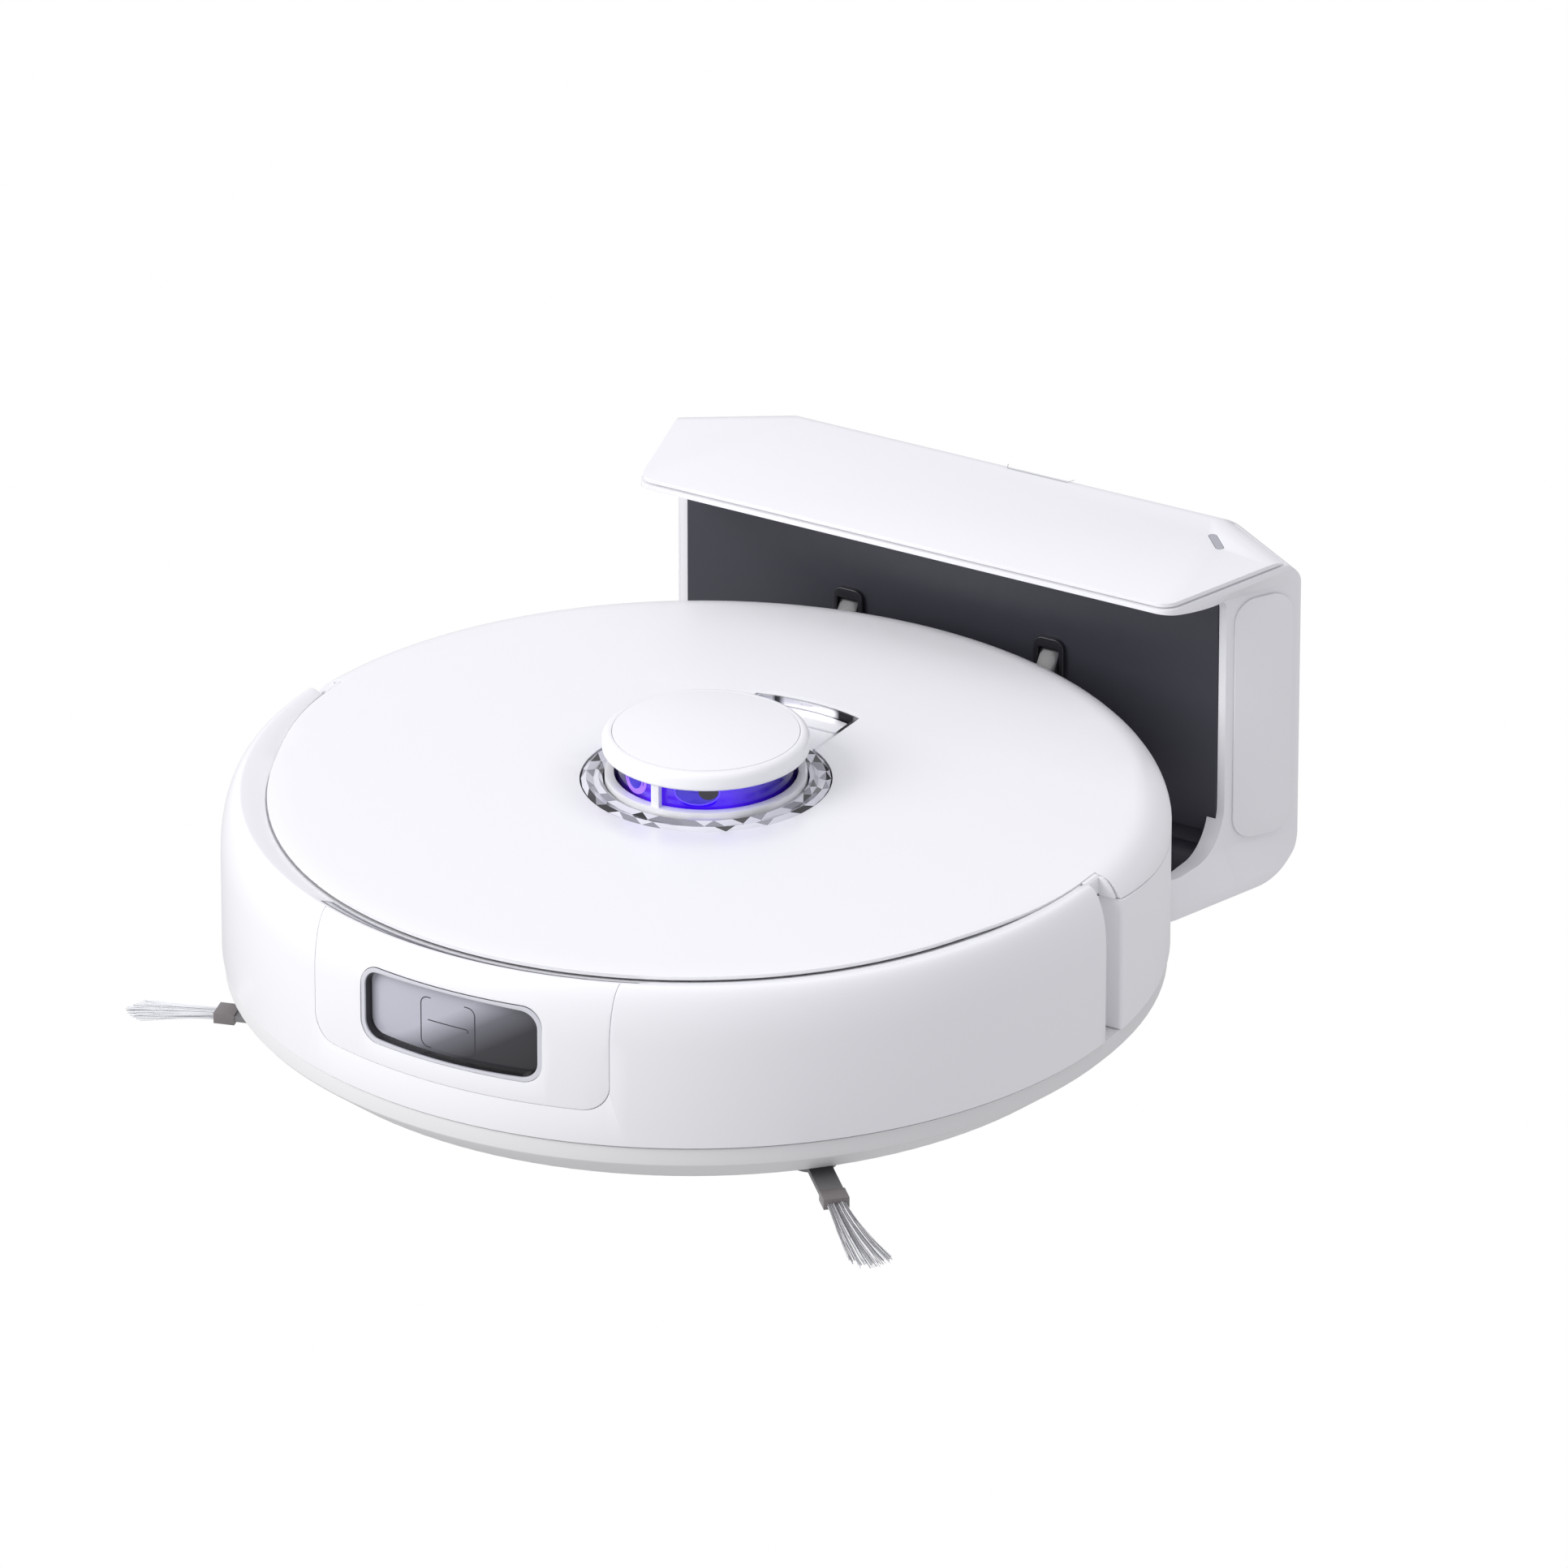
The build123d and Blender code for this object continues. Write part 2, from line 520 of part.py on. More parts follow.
with BuildPart() as top_cover:
    add(dome(0.0, 50.0))
    extrude(cover_outline(40.0), amount=80.0, mode=Mode.INTERSECT)
    add(dome(1.4, 40.0), mode=Mode.SUBTRACT)
    # stiffening lip set back from the front edge, inside the bumper's ledge
    with BuildSketch(Plane.XY.offset(85.0)):
        Circle(152.0)
        Circle(150.0, mode=Mode.SUBTRACT)
        with Locations((0, 100)):
            Rectangle(400, 200, mode=Mode.SUBTRACT)
    extrude(amount=5.4)
    add(below_seam(0.2), mode=Mode.SUBTRACT)
    # openings for the lidar tower's ring and the button recess
    drum(0, LIDAR_Y, 46.9, (0, 200), Mode.SUBTRACT)
    with BuildSketch(Plane.XY):
        with Locations((0, LIDAR_Y)):
            Circle(77.6)
        with Locations((0, LIDAR_Y + 50)):
            Rectangle(44.8, 100, mode=Mode.INTERSECT)
    extrude(amount=200, mode=Mode.SUBTRACT)
save(top_cover.part, "top_cover")

# ============================================================================================
# Dust bin
# ============================================================================================
with BuildPart() as bin_tub:
    block(*BIN)
    block((BIN[0][0] + 2, BIN[0][1] - 2), (BIN[1][0] + 2, BIN[1][1] - 2), (BIN[2][0] + 2, 90),
          Mode.SUBTRACT)
    block((-21, 21), (BIN[1][0] - 1, BIN[1][0] + 3), (25, 35), Mode.SUBTRACT)
    rod(FAN[0] + 10, FAN[1], 10.0, (BIN[0][0] - 1, BIN[0][0] + 3), Mode.SUBTRACT)
save(bin_tub.part, "bin_tub")

with BuildPart() as bin_lid:
    block(BIN[0], BIN[1], (BIN[2][1] + 0.2, BIN[2][1] + 2.2))
    block((-30, 30), (108, 114), (BIN[2][1] + 2.2, BIN[2][1] + 6.0))
save(bin_lid.part, "bin_lid")

with BuildPart() as bin_filter:
    block((BIN[0][0] + 2.0, BIN[0][0] + 10.0), (BIN[1][0] + 2.2, 122), (BIN[2][0] + 2, 70))
save(bin_filter.part, "bin_filter")

# ============================================================================================
# Drive modules and wheels
# ============================================================================================
for name, side in (("left", -1), ("right", 1)):
    with BuildPart() as drive_module:
        # gearbox plate with the drive motor on its inner face
        with BuildSketch(Plane.YZ.offset(min(side * 90.0, side * 103.4))) as plate:
            with BuildLine():
                Polyline((-22, 24), (-22, 62), (8, 62), (60, 48), (60, 32), (30, 18), (-10, 18),
                         close=True)
            make_face()
            fillet(plate.vertices(), radius=5.0)
        extrude(amount=13.4)
        rod(-2.0, 52.0, 9.0, sorted((side * 76.0, side * 90.5)))
        rod(PIVOT[0], PIVOT[1], 4.0, sorted((side * 85.2, side * 107.3)))
        rod(WHEEL_Y, WHEEL_R, 3.06, sorted((side * 95.0, side * 110.0)), Mode.SUBTRACT)
    save(drive_module.part, f"{name}_drive_module")

    with BuildPart() as wheel_hub:
        rod(WHEEL_Y, WHEEL_R, 25.0, sorted((side * WHEEL_X[0], side * WHEEL_X[1])))
        rod(WHEEL_Y, WHEEL_R, 20.0, sorted((side * (WHEEL_X[1] - 4), side * 140)), Mode.SUBTRACT)
        rod(WHEEL_Y, WHEEL_R, 7.0, sorted((side * (WHEEL_X[1] - 5), side * (WHEEL_X[1] - 0.5))))
        rod(WHEEL_Y, WHEEL_R, 3.0, sorted((side * 95.5, side * WHEEL_X[0])))
    save(wheel_hub.part, f"{name}_wheel_hub")

    with BuildPart() as tyre:
        rod(WHEEL_Y, WHEEL_R, WHEEL_R, sorted((side * WHEEL_X[0], side * WHEEL_X[1])))
        fillet(tyre.edges().filter_by(GeomType.CIRCLE), radius=2.0)
        rod(WHEEL_Y, WHEEL_R, 25.0, (-140, 140), Mode.SUBTRACT)
        # tread grooves across the rubber
        for step in range(24):
            angle = radians(step * 15.0 + 7.5)
            middle = ((WHEEL_X[0] + WHEEL_X[1]) / 2 * side,
                      WHEEL_Y + WHEEL_R * cos(angle), WHEEL_R + WHEEL_R * sin(angle))
            with Locations(Location(middle, (step * 15.0 + 7.5, 0, 0))):
                Box(30, 3.6, 2.4, mode=Mode.SUBTRACT)
    save(tyre.part, f"{name}_tyre")

# ============================================================================================
# Caster
# ============================================================================================
WHEEL_FRONT = CASTER_Y + CASTER_TRAIL
with BuildPart() as caster_fork:
    drum(0, CASTER_Y, 17.0, (9.0, 36.6))
    drum(0, CASTER_Y, 4.0, (36.6, 46.0))
    block((-8.0, 8.0), (WHEEL_FRONT - 13.0, WHEEL_FRONT + 13.0), (0, 26.0), Mode.SUBTRACT)
    rod(WHEEL_FRONT, CASTER_R, 1.56, (-14, 14), Mode.SUBTRACT)
save(caster_fork.part, "caster_fork")

with BuildPart() as caster_wheel:
    rod(WHEEL_FRONT, CASTER_R, CASTER_R, (-7.0, 7.0))
    fillet(caster_wheel.edges().filter_by(GeomType.CIRCLE), radius=3.0)
    rod(WHEEL_FRONT, CASTER_R, 1.5, (-12.5, 12.5))
save(caster_wheel.part, "caster_wheel")

# ============================================================================================
# Brushes and fan
# ============================================================================================
with BuildPart() as brush_core:
    rod(BRUSH_Y, BRUSH_Z, 9.0, (-79.5, 79.5))
    rod(BRUSH_Y, BRUSH_Z, 3.0, (-83.5, 83.5))
save(brush_core.part, "brush_core")

with BuildPart() as brush_fins:
    # six twisted rubber fins, each two runs that meet in a V at the middle
    for run in (-1, 1):
        with BuildSketch(Plane.YZ.offset(0)) as near_fins:
            with Locations((BRUSH_Y, BRUSH_Z)):
                with PolarLocations(12.2, 6):
                    Rectangle(6.5, 2.0)
        with BuildSketch(Plane.YZ.offset(run * 78.0)) as far_fins:
            with Locations((BRUSH_Y, BRUSH_Z)):
                with PolarLocations(12.2, 6, start_angle=30):
                    Rectangle(6.5, 2.0)
        for near, far in zip(near_fins.sketch.faces(), far_fins.sketch.faces()):
            loft([near, far])
    rod(BRUSH_Y, BRUSH_Z, 9.0, (-90, 90), Mode.SUBTRACT)
save(brush_fins.part, "brush_fins")

for name, side in (("left", -1), ("right", 1)):
    hub = (side * SIDE_HUB[0], SIDE_HUB[1])
    angle = SIDE_ANGLES[name]
    with BuildPart() as arms:
        drum(hub[0], hub[1], 9.0, (4.4, 10.8))
        drum(hub[0], hub[1], 3.0, (10.8, 25.0))
        for turn in (angle, angle + 180.0):
            out = (cos(radians(turn)), sin(radians(turn)))
            with Locations(Location((hub[0] + 20 * out[0], hub[1] + 20 * out[1], 7.4),
                                    (0, 0, turn))):
                Box(26, 9.0, 2.2)
            with Locations(Location((hub[0] + 36 * out[0], hub[1] + 36 * out[1], 7.0),
                                    (0, 0, turn))):
                Box(8, 9.6, 4.2)
    save(arms.part, f"{name}_brush_arms")

    with BuildPart() as bristles:
        # each tuft is one flat wedge that widens and droops towards its tips
        for turn in (angle, angle + 180.0):
            out = (cos(radians(turn)), sin(radians(turn)))
            root = Plane(origin=(hub[0] + 40 * out[0], hub[1] + 40 * out[1], 6.8),
                         z_dir=(out[0], out[1], 0), x_dir=(-out[1], out[0], 0))
            tip = Plane(origin=(hub[0] + 78 * out[0], hub[1] + 78 * out[1], 3.4),
                        z_dir=(out[0], out[1], 0), x_dir=(-out[1], out[0], 0))
            with BuildSketch(root) as near:
                Rectangle(7.0, 3.0)
            with BuildSketch(tip) as far:
                Rectangle(16.0, 3.0)
            loft([near.sketch.face(), far.sketch.face()])
    save(bristles.part, f"{name}_bristles")

with BuildPart() as impeller:
    rod(FAN[0], FAN[1], 19.5, (-88.5, -86.5))
    rod(FAN[0], FAN[1], 6.0, (-88.0, -76.0))
    rod(FAN[0], FAN[1], 2.5, (-100.0, -86.5))
    for step in range(7):
        turn = radians(step * 360.0 / 7.0)
        with Locations(Location((-81.5, FAN[0] + 12.2 * cos(turn), FAN[1] + 12.2 * sin(turn)),
                                (step * 360.0 / 7.0, 0, 0))):
            Box(10.6, 14.0, 1.2)
save(impeller.part, "impeller")


# ============================================================================================
# Dock
# ============================================================================================
def dock_plan(height, inset=0.0):
    """The dock from above: sides that flare, then chamfered back corners."""
    with BuildSketch(Plane.XY.offset(height)) as plan:
        with BuildLine():
            Polyline(
                (-FRONT_HALF, DOCK_FRONT), (FRONT_HALF, DOCK_FRONT), CORNER,
                (BACK_HALF, DOCK_BACK), (-BACK_HALF, DOCK_BACK), (-CORNER[0], CORNER[1]),
                close=True,
            )
        make_face()
        fillet(plan.vertices().group_by(Axis.Y)[0], radius=8.0)
        fillet(plan.vertices().group_by(Axis.Y)[-1], radius=8.0)
        fillet(plan.vertices().filter_by(lambda corner: abs(corner.X) > 130), radius=7.0)
        if inset:
            offset(amount=-inset)
    return plan.sketch


def side_view(points, half=200.0, radii=()):
    """A prism across the dock from its outline seen from the side; radii rounds corners."""
    with BuildSketch(Plane.YZ.offset(-half)) as outline:
        with BuildLine():
            Polyline(*points, close=True)
        make_face()
        for corner, radius in radii:
            fillet(outline.vertices().sort_by_distance((*corner, 0))[0], radius=radius)
    return extrude(outline.sketch, amount=2 * half, mode=Mode.PRIVATE)


mouth = side_view(
    ((120, MOUTH[0]), (CHEEK[1], MOUTH[0]), (CHEEK[1], MOUTH[1]), (DOCK_FRONT, LIP_Z),
     (120, LIP_Z)),
    radii=(((CHEEK[1], MOUTH[0]), 18.0), ((CHEEK[1], MOUTH[1]), 5.0)),
)
# the block's outer corners at the back, rounded in the side view
rounded_back = side_view(
    ((120, 1.2), (DOCK_BACK, 1.2), (DOCK_BACK, DOCK_TOP), (120, DOCK_TOP)),
    radii=(((DOCK_BACK, 1.2), HEEL_R), ((DOCK_BACK, DOCK_TOP), 12.0)),
)


def rounded_corner(side):
    """A prism that rounds the top and bottom edges of one chamfered back corner."""
    outward = Vector(side * (DOCK_BACK - CORNER[1]), CORNER[0] - BACK_HALF).normalized()
    corner = Plane(origin=(side * CORNER[0], CORNER[1], 1.2), x_dir=(outward.X, outward.Y, 0),
                   z_dir=(outward.Y, -outward.X, 0))
    with BuildSketch(corner) as outline:
        with Locations((-250.0, (DOCK_TOP - 1.2) / 2)):
            Rectangle(500.0, DOCK_TOP - 1.2)
        fillet(outline.vertices().sort_by_distance((0, DOCK_TOP - 1.2, 0))[0], radius=SHOULDER_R)
        fillet(outline.vertices().sort_by_distance((0, 0, 0))[0], radius=HEEL_R)
    return extrude(outline.sketch, amount=300.0, both=True, mode=Mode.PRIVATE)


def flare(y):
    """Half width of the dock's flared side."""
    slope = (CORNER[0] - FRONT_HALF) / (CORNER[1] - DOCK_FRONT)
    return FRONT_HALF + slope * (y - DOCK_FRONT)


def cheek_recess(side):
    """Cut from the flared side, so that the cheek stands in and blends out above and below."""
    start, end = DOCK_FRONT + 8.0, CORNER[1] - 3.0
    with BuildPart() as recess:
        for height, middle in ((5.0, flare(CHEEK[1])), (19.0, CHEEK[0]),
                               (MOUTH[1], CHEEK[0]), (LIP_Z - 0.4, flare(CHEEK[1]))):
            with BuildSketch(Plane.XY.offset(height)):
                Polygon((side * flare(start), start), (side * middle, CHEEK[1]),
                        (side * flare(end), end), (side * 170, end), (side * 170, start),
                        align=None)
        loft(ruled=True)
    return recess.part


rounded_corners = [rounded_corner(side) for side in (-1, 1)]
cheek_recesses = [cheek_recess(side) for side in (-1, 1)]

with BuildPart() as dock_block:
    extrude(dock_plan(1.2), amount=DOCK_TOP - 1.2)
    add(rounded_back, mode=Mode.INTERSECT)
    for prism in rounded_corners:
        add(prism, mode=Mode.INTERSECT)

with BuildPart() as dock_shell:
    add(dock_block.part)
    add(mouth, mode=Mode.SUBTRACT)
    for recess in cheek_recesses:
        add(recess, mode=Mode.SUBTRACT)
    # inner pocket that the dark liner lines
    block((-112.6, 112.6), (120, PANEL_Y), (4.6, MOUTH[1]), Mode.SUBTRACT)
    block((-116.4, 116.4), (CHEEK[1] - 1, PANEL_Y), (24.0, MOUTH[1] - 2.0), Mode.SUBTRACT)
    # electronics space behind the liner
    block((-92, 92), (PANEL_Y - 1, 236), (12, 120), Mode.SUBTRACT)
    # roof skin seat
    block((-200, 200), (100, SKIN_BACK + 0.4), (SKIN_Z - 0.8, 200), Mode.SUBTRACT)
    # power inlet hole
    block((-9, 9), (230, 250), (24, 34), Mode.SUBTRACT)
save(dock_shell.part, "dock_shell")

with BuildPart() as dock_roof:
    add(dock_block.part)
    skin_plan = extrude(dock_plan(SKIN_Z, 0.7), amount=DOCK_TOP, mode=Mode.PRIVATE)
    add(skin_plan, mode=Mode.INTERSECT)
    block((-200, 200), (SKIN_BACK, 300), (0, 200), Mode.SUBTRACT)
    with BuildSketch(Plane.XY.offset(SKIN_Z - 1)):
        with Locations(Location((102.3, 212.2, 0), (0, 0, -47))):
            SlotOverall(14.4, 3.4)
    extrude(amount=10, mode=Mode.SUBTRACT)
save(dock_roof.part, "dock_roof")

with BuildPart() as led_light_pipe:
    with BuildSketch(Plane.XY.offset(SKIN_Z - 0.4)):
        with Locations(Location((102.3, 212.2, 0), (0, 0, -47))):
            SlotOverall(14.0, 3.0)
    extrude(amount=DOCK_TOP - SKIN_Z + 0.4)
save(led_light_pipe.part, "led_light_pipe")

with BuildPart() as dock_liner:
    # dark inner skin: back panel, with a curve forward into the floor
    block((-112.4, 112.4), (PANEL_Y - 2.2, PANEL_Y), (4.8, MOUTH[1] - 0.2))
    block((-116.2, 116.2), (CHEEK[1] - 0.6, PANEL_Y), (24.2, MOUTH[1] - 2.2))
    block((-112.4, 112.4), (DOCK_FRONT + 1.5, PANEL_Y), (4.8, 6.6))
    with BuildSketch(Plane.YZ.offset(-112.4)) as cove:
        with BuildLine():
            Polyline((PANEL_Y - 1, 6.0), (PANEL_Y - 12.6, 6.0), (PANEL_Y - 12.6, 6.6))
            RadiusArc((PANEL_Y - 12.6, 6.6), (PANEL_Y - 2.2, 17.0), 10.4)
            Polyline((PANEL_Y - 2.2, 17.0), (PANEL_Y - 1, 17.0), (PANEL_Y - 1, 6.0))
        make_face()
    extrude(amount=224.8)
    # slots that the charging contacts spring back through
    for side in (-1, 1):
        ends = (side * CONTACT_X - 4.6, side * CONTACT_X + 4.6)
        block(ends, (150, 210), (40.0, 85.0), Mode.SUBTRACT)
save(dock_liner.part, "dock_liner")

with BuildPart() as contact_mounts:
    # tombstone-shaped frames round the contacts, on the panel
    for side in (-1, 1):
        with BuildSketch(Plane.XZ.offset(-CHEEK[1] + 0.8)) as frame:
            with Locations((side * CONTACT_X, 62.0)):
                RectangleRounded(13.0, 54.0, 4.0)
                Rectangle(9.0, 46.0, mode=Mode.SUBTRACT)
        extrude(amount=1.8)
save(contact_mounts.part, "contact_mounts")

for name, side in (("left", -1), ("right", 1)):
    with BuildPart() as contact:
        # a sloping finger: flush with the panel at its top, furthest out where it touches
        middle = side * CONTACT_X
        reach = REAR_SHIFT + sqrt((BODY_R + 0.6) ** 2 - (CONTACT_X - 4.2) ** 2) + 0.4
        with BuildSketch(Plane.YZ.offset(middle - 4.2)) as finger:
            with BuildLine():
                Polyline((PANEL_Y + 6, 84.5), (PANEL_Y - 4, 84.5), (reach + 5, 72.0),
                         (reach, 58.0), (reach, 44.0), (PANEL_Y - 3, 40.6), (PANEL_Y + 6, 40.6),
                         close=True)
            make_face()
        extrude(amount=8.4)
    save(contact.part, f"{name}_contact")

with BuildPart() as dock_cheeks:
    # flat side panels set into the flared faces
    for side in (-1, 1):
        run = Vector(side * (CORNER[0] - CHEEK[0]), CORNER[1] - 3.0 - CHEEK[1])
        normal = Vector(side * run.Y, -side * run.X) if side > 0 else Vector(-run.Y, run.X)
        normal = normal.normalized()
        along = run.normalized()
        start = Vector(side * CHEEK[0], CHEEK[1]) + normal * 0.02
        face = Plane(origin=(start.X, start.Y, 0), x_dir=(along.X, along.Y, 0),
                     z_dir=(normal.X, normal.Y, 0))
        with BuildSketch(face) as cheek:
            with Locations((16.0, side * 70.5)):
                RectangleRounded(25.0, 99.0, 9.0)
        extrude(amount=0.8)
save(dock_cheeks.part, "dock_cheeks")

with BuildPart() as dock_feet:
    for x in (-95, 95):
        for y in (164, 206):
            drum(x, y, 8.0, (0, 1.2))
save(dock_feet.part, "dock_feet")

with BuildPart() as dock_pcb:
    block((-60, 60), (228, 229.6), (30, 100))
    for x, z, wide, tall, deep in ((-30, 60, 24, 20, 10), (10, 50, 16, 16, 5), (36, 80, 20, 14, 8)):
        block((x - wide / 2, x + wide / 2), (228 - deep, 228), (z - tall / 2, z + tall / 2))
save(dock_pcb.part, "dock_pcb")

with BuildPart() as power_inlet:
    block((-8.8, 8.8), (230.6, DOCK_BACK), (24.2, 33.8))
    block((-5.5, 5.5), (234.0, DOCK_BACK + 1), (26.0, 32.0), Mode.SUBTRACT)
save(power_inlet.part, "power_inlet")
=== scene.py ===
"""Looks of a docked robot vacuum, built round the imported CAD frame. Lengths are in metres."""

import json
import math
import random

import bpy
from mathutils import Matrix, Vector


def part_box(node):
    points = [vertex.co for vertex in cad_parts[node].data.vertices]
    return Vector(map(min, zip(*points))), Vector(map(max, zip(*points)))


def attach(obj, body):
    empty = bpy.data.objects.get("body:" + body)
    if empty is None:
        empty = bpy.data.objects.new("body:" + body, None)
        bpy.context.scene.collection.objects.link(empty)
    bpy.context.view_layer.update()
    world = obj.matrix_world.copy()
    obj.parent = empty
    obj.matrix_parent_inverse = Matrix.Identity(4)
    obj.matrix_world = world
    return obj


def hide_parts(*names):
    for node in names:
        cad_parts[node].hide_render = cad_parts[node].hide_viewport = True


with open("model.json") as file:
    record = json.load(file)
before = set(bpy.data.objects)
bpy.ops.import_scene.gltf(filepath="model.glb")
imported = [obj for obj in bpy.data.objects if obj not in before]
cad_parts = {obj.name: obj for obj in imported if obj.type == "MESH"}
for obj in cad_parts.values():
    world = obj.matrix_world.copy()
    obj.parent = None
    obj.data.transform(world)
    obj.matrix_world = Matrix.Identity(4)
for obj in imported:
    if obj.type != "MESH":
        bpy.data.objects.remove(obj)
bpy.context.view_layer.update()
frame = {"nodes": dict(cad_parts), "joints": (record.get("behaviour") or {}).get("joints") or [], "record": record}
NODES = frame["nodes"]

MM = 0.001
PANE_INSET = 4.4 * MM    # how far the smoked pane sits inside the bumper's wall
CLAMP_START = 31.9 * MM  # where the bristles' sleeves begin, from the side brush's hub
FILAMENT_START = 38.5 * MM
FILAMENT_R = 0.20 * MM
STRANDS_PER_TUFT = 46


# --------------------------------------------------------------------------------------------
# Places, read from the frame
# --------------------------------------------------------------------------------------------
def middle(node):
    """Centre of a node's box."""
    low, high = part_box(node)
    return (low + high) / 2


def joint_centre(name):
    """Where a named hinge sits."""
    found = next(joint for joint in frame["joints"] if joint["name"] == name)
    return Vector(found["pos_m"])


TOWER = middle("lidar_cage")
RING_LOW, RING_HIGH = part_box("crystal_ring")
RING_OUT = (RING_HIGH.x - RING_LOW.x) / 2
TURRET_R = (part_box("lidar_turret")[1].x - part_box("lidar_turret")[0].x) / 2
BODY_R = (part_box("bumper_shell")[1].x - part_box("bumper_shell")[0].x) / 2
PANE_R = BODY_R - PANE_INSET
GLASS_LOW, GLASS_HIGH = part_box("window_glass")
ROOF_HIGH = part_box("dock_roof")[1]
BUTTON_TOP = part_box("home_button")[1].z


# --------------------------------------------------------------------------------------------
# Materials
# --------------------------------------------------------------------------------------------
def plastic(name, colour, roughness=0.35, coat=0.0, metallic=0.0, glow=None,
            glow_strength=0.0):
    """A Principled material with plain values."""
    material = bpy.data.materials.new(name)
    material.use_nodes = True
    shader = material.node_tree.nodes["Principled BSDF"]
    shader.inputs["Base Color"].default_value = (*colour, 1.0)
    shader.inputs["Roughness"].default_value = roughness
    shader.inputs["Metallic"].default_value = metallic
    shader.inputs["Coat Weight"].default_value = coat
    shader.inputs["Coat Roughness"].default_value = 0.08
    if glow:
        shader.inputs["Emission Color"].default_value = (*glow, 1.0)
        shader.inputs["Emission Strength"].default_value = glow_strength
    return material


def position_ramp(material, direction, start, end, stops, sockets=("Base Color",),
                  radial=False):
    """Colours a material along a direction in the row frame, from start to end in metres.

    With radial, direction is a mask and the colour follows the distance from the origin."""
    tree = material.node_tree
    place = tree.nodes.new("ShaderNodeTexCoord")
    along = tree.nodes.new("ShaderNodeVectorMath")
    along.operation = "MULTIPLY" if radial else "DOT_PRODUCT"
    along.inputs[1].default_value = direction
    share = tree.nodes.new("ShaderNodeMapRange")
    share.inputs["From Min"].default_value = start
    share.inputs["From Max"].default_value = end
    ramp = tree.nodes.new("ShaderNodeValToRGB")
    ramp.color_ramp.elements.remove(ramp.color_ramp.elements[1])
    ramp.color_ramp.elements[0].position = stops[0][0]
    ramp.color_ramp.elements[0].color = (*stops[0][1], 1.0)
    for at, colour in stops[1:]:
        ramp.color_ramp.elements.new(at).color = (*colour, 1.0)
    tree.links.new(place.outputs["Object"], along.inputs[0])
    if radial:
        distance = tree.nodes.new("ShaderNodeVectorMath")
        distance.operation = "LENGTH"
        tree.links.new(along.outputs["Vector"], distance.inputs[0])
        along = distance
    tree.links.new(along.outputs["Value"], share.inputs["Value"])
    tree.links.new(share.outputs["Result"], ramp.inputs["Fac"])
    for socket in sockets:
        tree.links.new(ramp.outputs["Color"], tree.nodes["Principled BSDF"].inputs[socket])


WHITE = (0.90, 0.90, 0.915)
MATERIALS = {
    "white_gloss": plastic("white_gloss_shell", WHITE, 0.30, 0.25),
    "cover_white": plastic("white_satin_cover", (0.91, 0.91, 0.922), 0.34, 0.20),
    "skirt_grey": plastic("pale_grey_skirt", (0.78, 0.78, 0.775), 0.45),
    "chassis_dark": plastic("dark_chassis", (0.05, 0.05, 0.055), 0.5),
    "inner_grey": plastic("inner_grey", (0.20, 0.21, 0.23), 0.5),
    "smoked_window": plastic("smoked_strip", (0.34, 0.34, 0.39), 0.12, 0.5),
    "bezel_grey": plastic("bezel_grey", (0.50, 0.50, 0.55), 0.25, 0.3),
    "sensor_black": plastic("sensor_black", (0.02, 0.02, 0.022), 0.2),
    "crystal": plastic("crystal_clear", (0.72, 0.72, 0.78), 0.04, 0.8),
    "chrome_trim": plastic("polished_chrome", (0.80, 0.80, 0.83), 0.06, metallic=1.0),
    # the turret's violet glow is painted light; the turret is no lamp
    "turret_violet": plastic("violet_turret", (0.03, 0.004, 0.30), 0.16, 0.5,
                             glow=(0.05, 0.006, 0.70), glow_strength=0.40),
    "pcb_green": plastic("circuit_green", (0.02, 0.13, 0.05), 0.4),
    "battery_blue": plastic("battery_sleeve", (0.03, 0.08, 0.22), 0.4),
    "motor_steel": plastic("motor_steel", (0.55, 0.55, 0.56), 0.35, metallic=1.0),
    "screw_steel": plastic("screw_steel", (0.45, 0.45, 0.46), 0.3, metallic=1.0),
    "plate_metal": plastic("nickel_plate", (0.10, 0.10, 0.11), 0.35, metallic=1.0),
    "tyre_rubber": plastic("tyre_rubber", (0.025, 0.025, 0.028), 0.75),
    "hub_grey": plastic("hub_grey", (0.13, 0.13, 0.14), 0.45),
    "brush_rubber": plastic("brush_rubber", (0.24, 0.235, 0.24), 0.55),
    "roller_rubber": plastic("roller_rubber", (0.07, 0.09, 0.14), 0.6),
    "bristle_nylon": plastic("bristle_pale", (0.72, 0.73, 0.75), 0.4),
    "filter_paper": plastic("filter_paper", (0.78, 0.78, 0.72), 0.9),
    "bin_clear": plastic("bin_smoke", (0.10, 0.10, 0.13), 0.12, 0.5),
    "dock_white": plastic("white_gloss_dock", WHITE, 0.30, 0.25),
    "dock_dark": plastic("blue_black_liner", (0.040, 0.040, 0.054), 0.42),
    "contact_dark": plastic("contact_black", (0.020, 0.020, 0.024), 0.3, 0.3),
    "light_pipe": plastic("frosted_light_pipe", (0.42, 0.42, 0.46), 0.25),
    "foot_rubber": plastic("foot_rubber", (0.03, 0.03, 0.033), 0.7),
}
CLAMP = plastic("bristle_clamp", (0.20, 0.18, 0.18), 0.35, 0.3)
# painted shade for a share of the bristle filaments
BRISTLE_DARK = plastic("bristle_shade", (0.30, 0.30, 0.31), 0.45)
# painted reflections for the crystal's facets; the violet one also glows as painted light
FACET_BLACK = plastic("facet_black", (0.012, 0.012, 0.014), 0.04, 0.8)
FACET_GREY = plastic("facet_grey", (0.27, 0.27, 0.31), 0.04, 0.8)
FACET_VIOLET = plastic("facet_violet", (0.16, 0.07, 0.62), 0.04, 0.8, glow=(0.10, 0.03, 0.6),
                       glow_strength=0.25)
LINE_GREY = plastic("printed_grey", (0.36, 0.36, 0.39), 0.4)
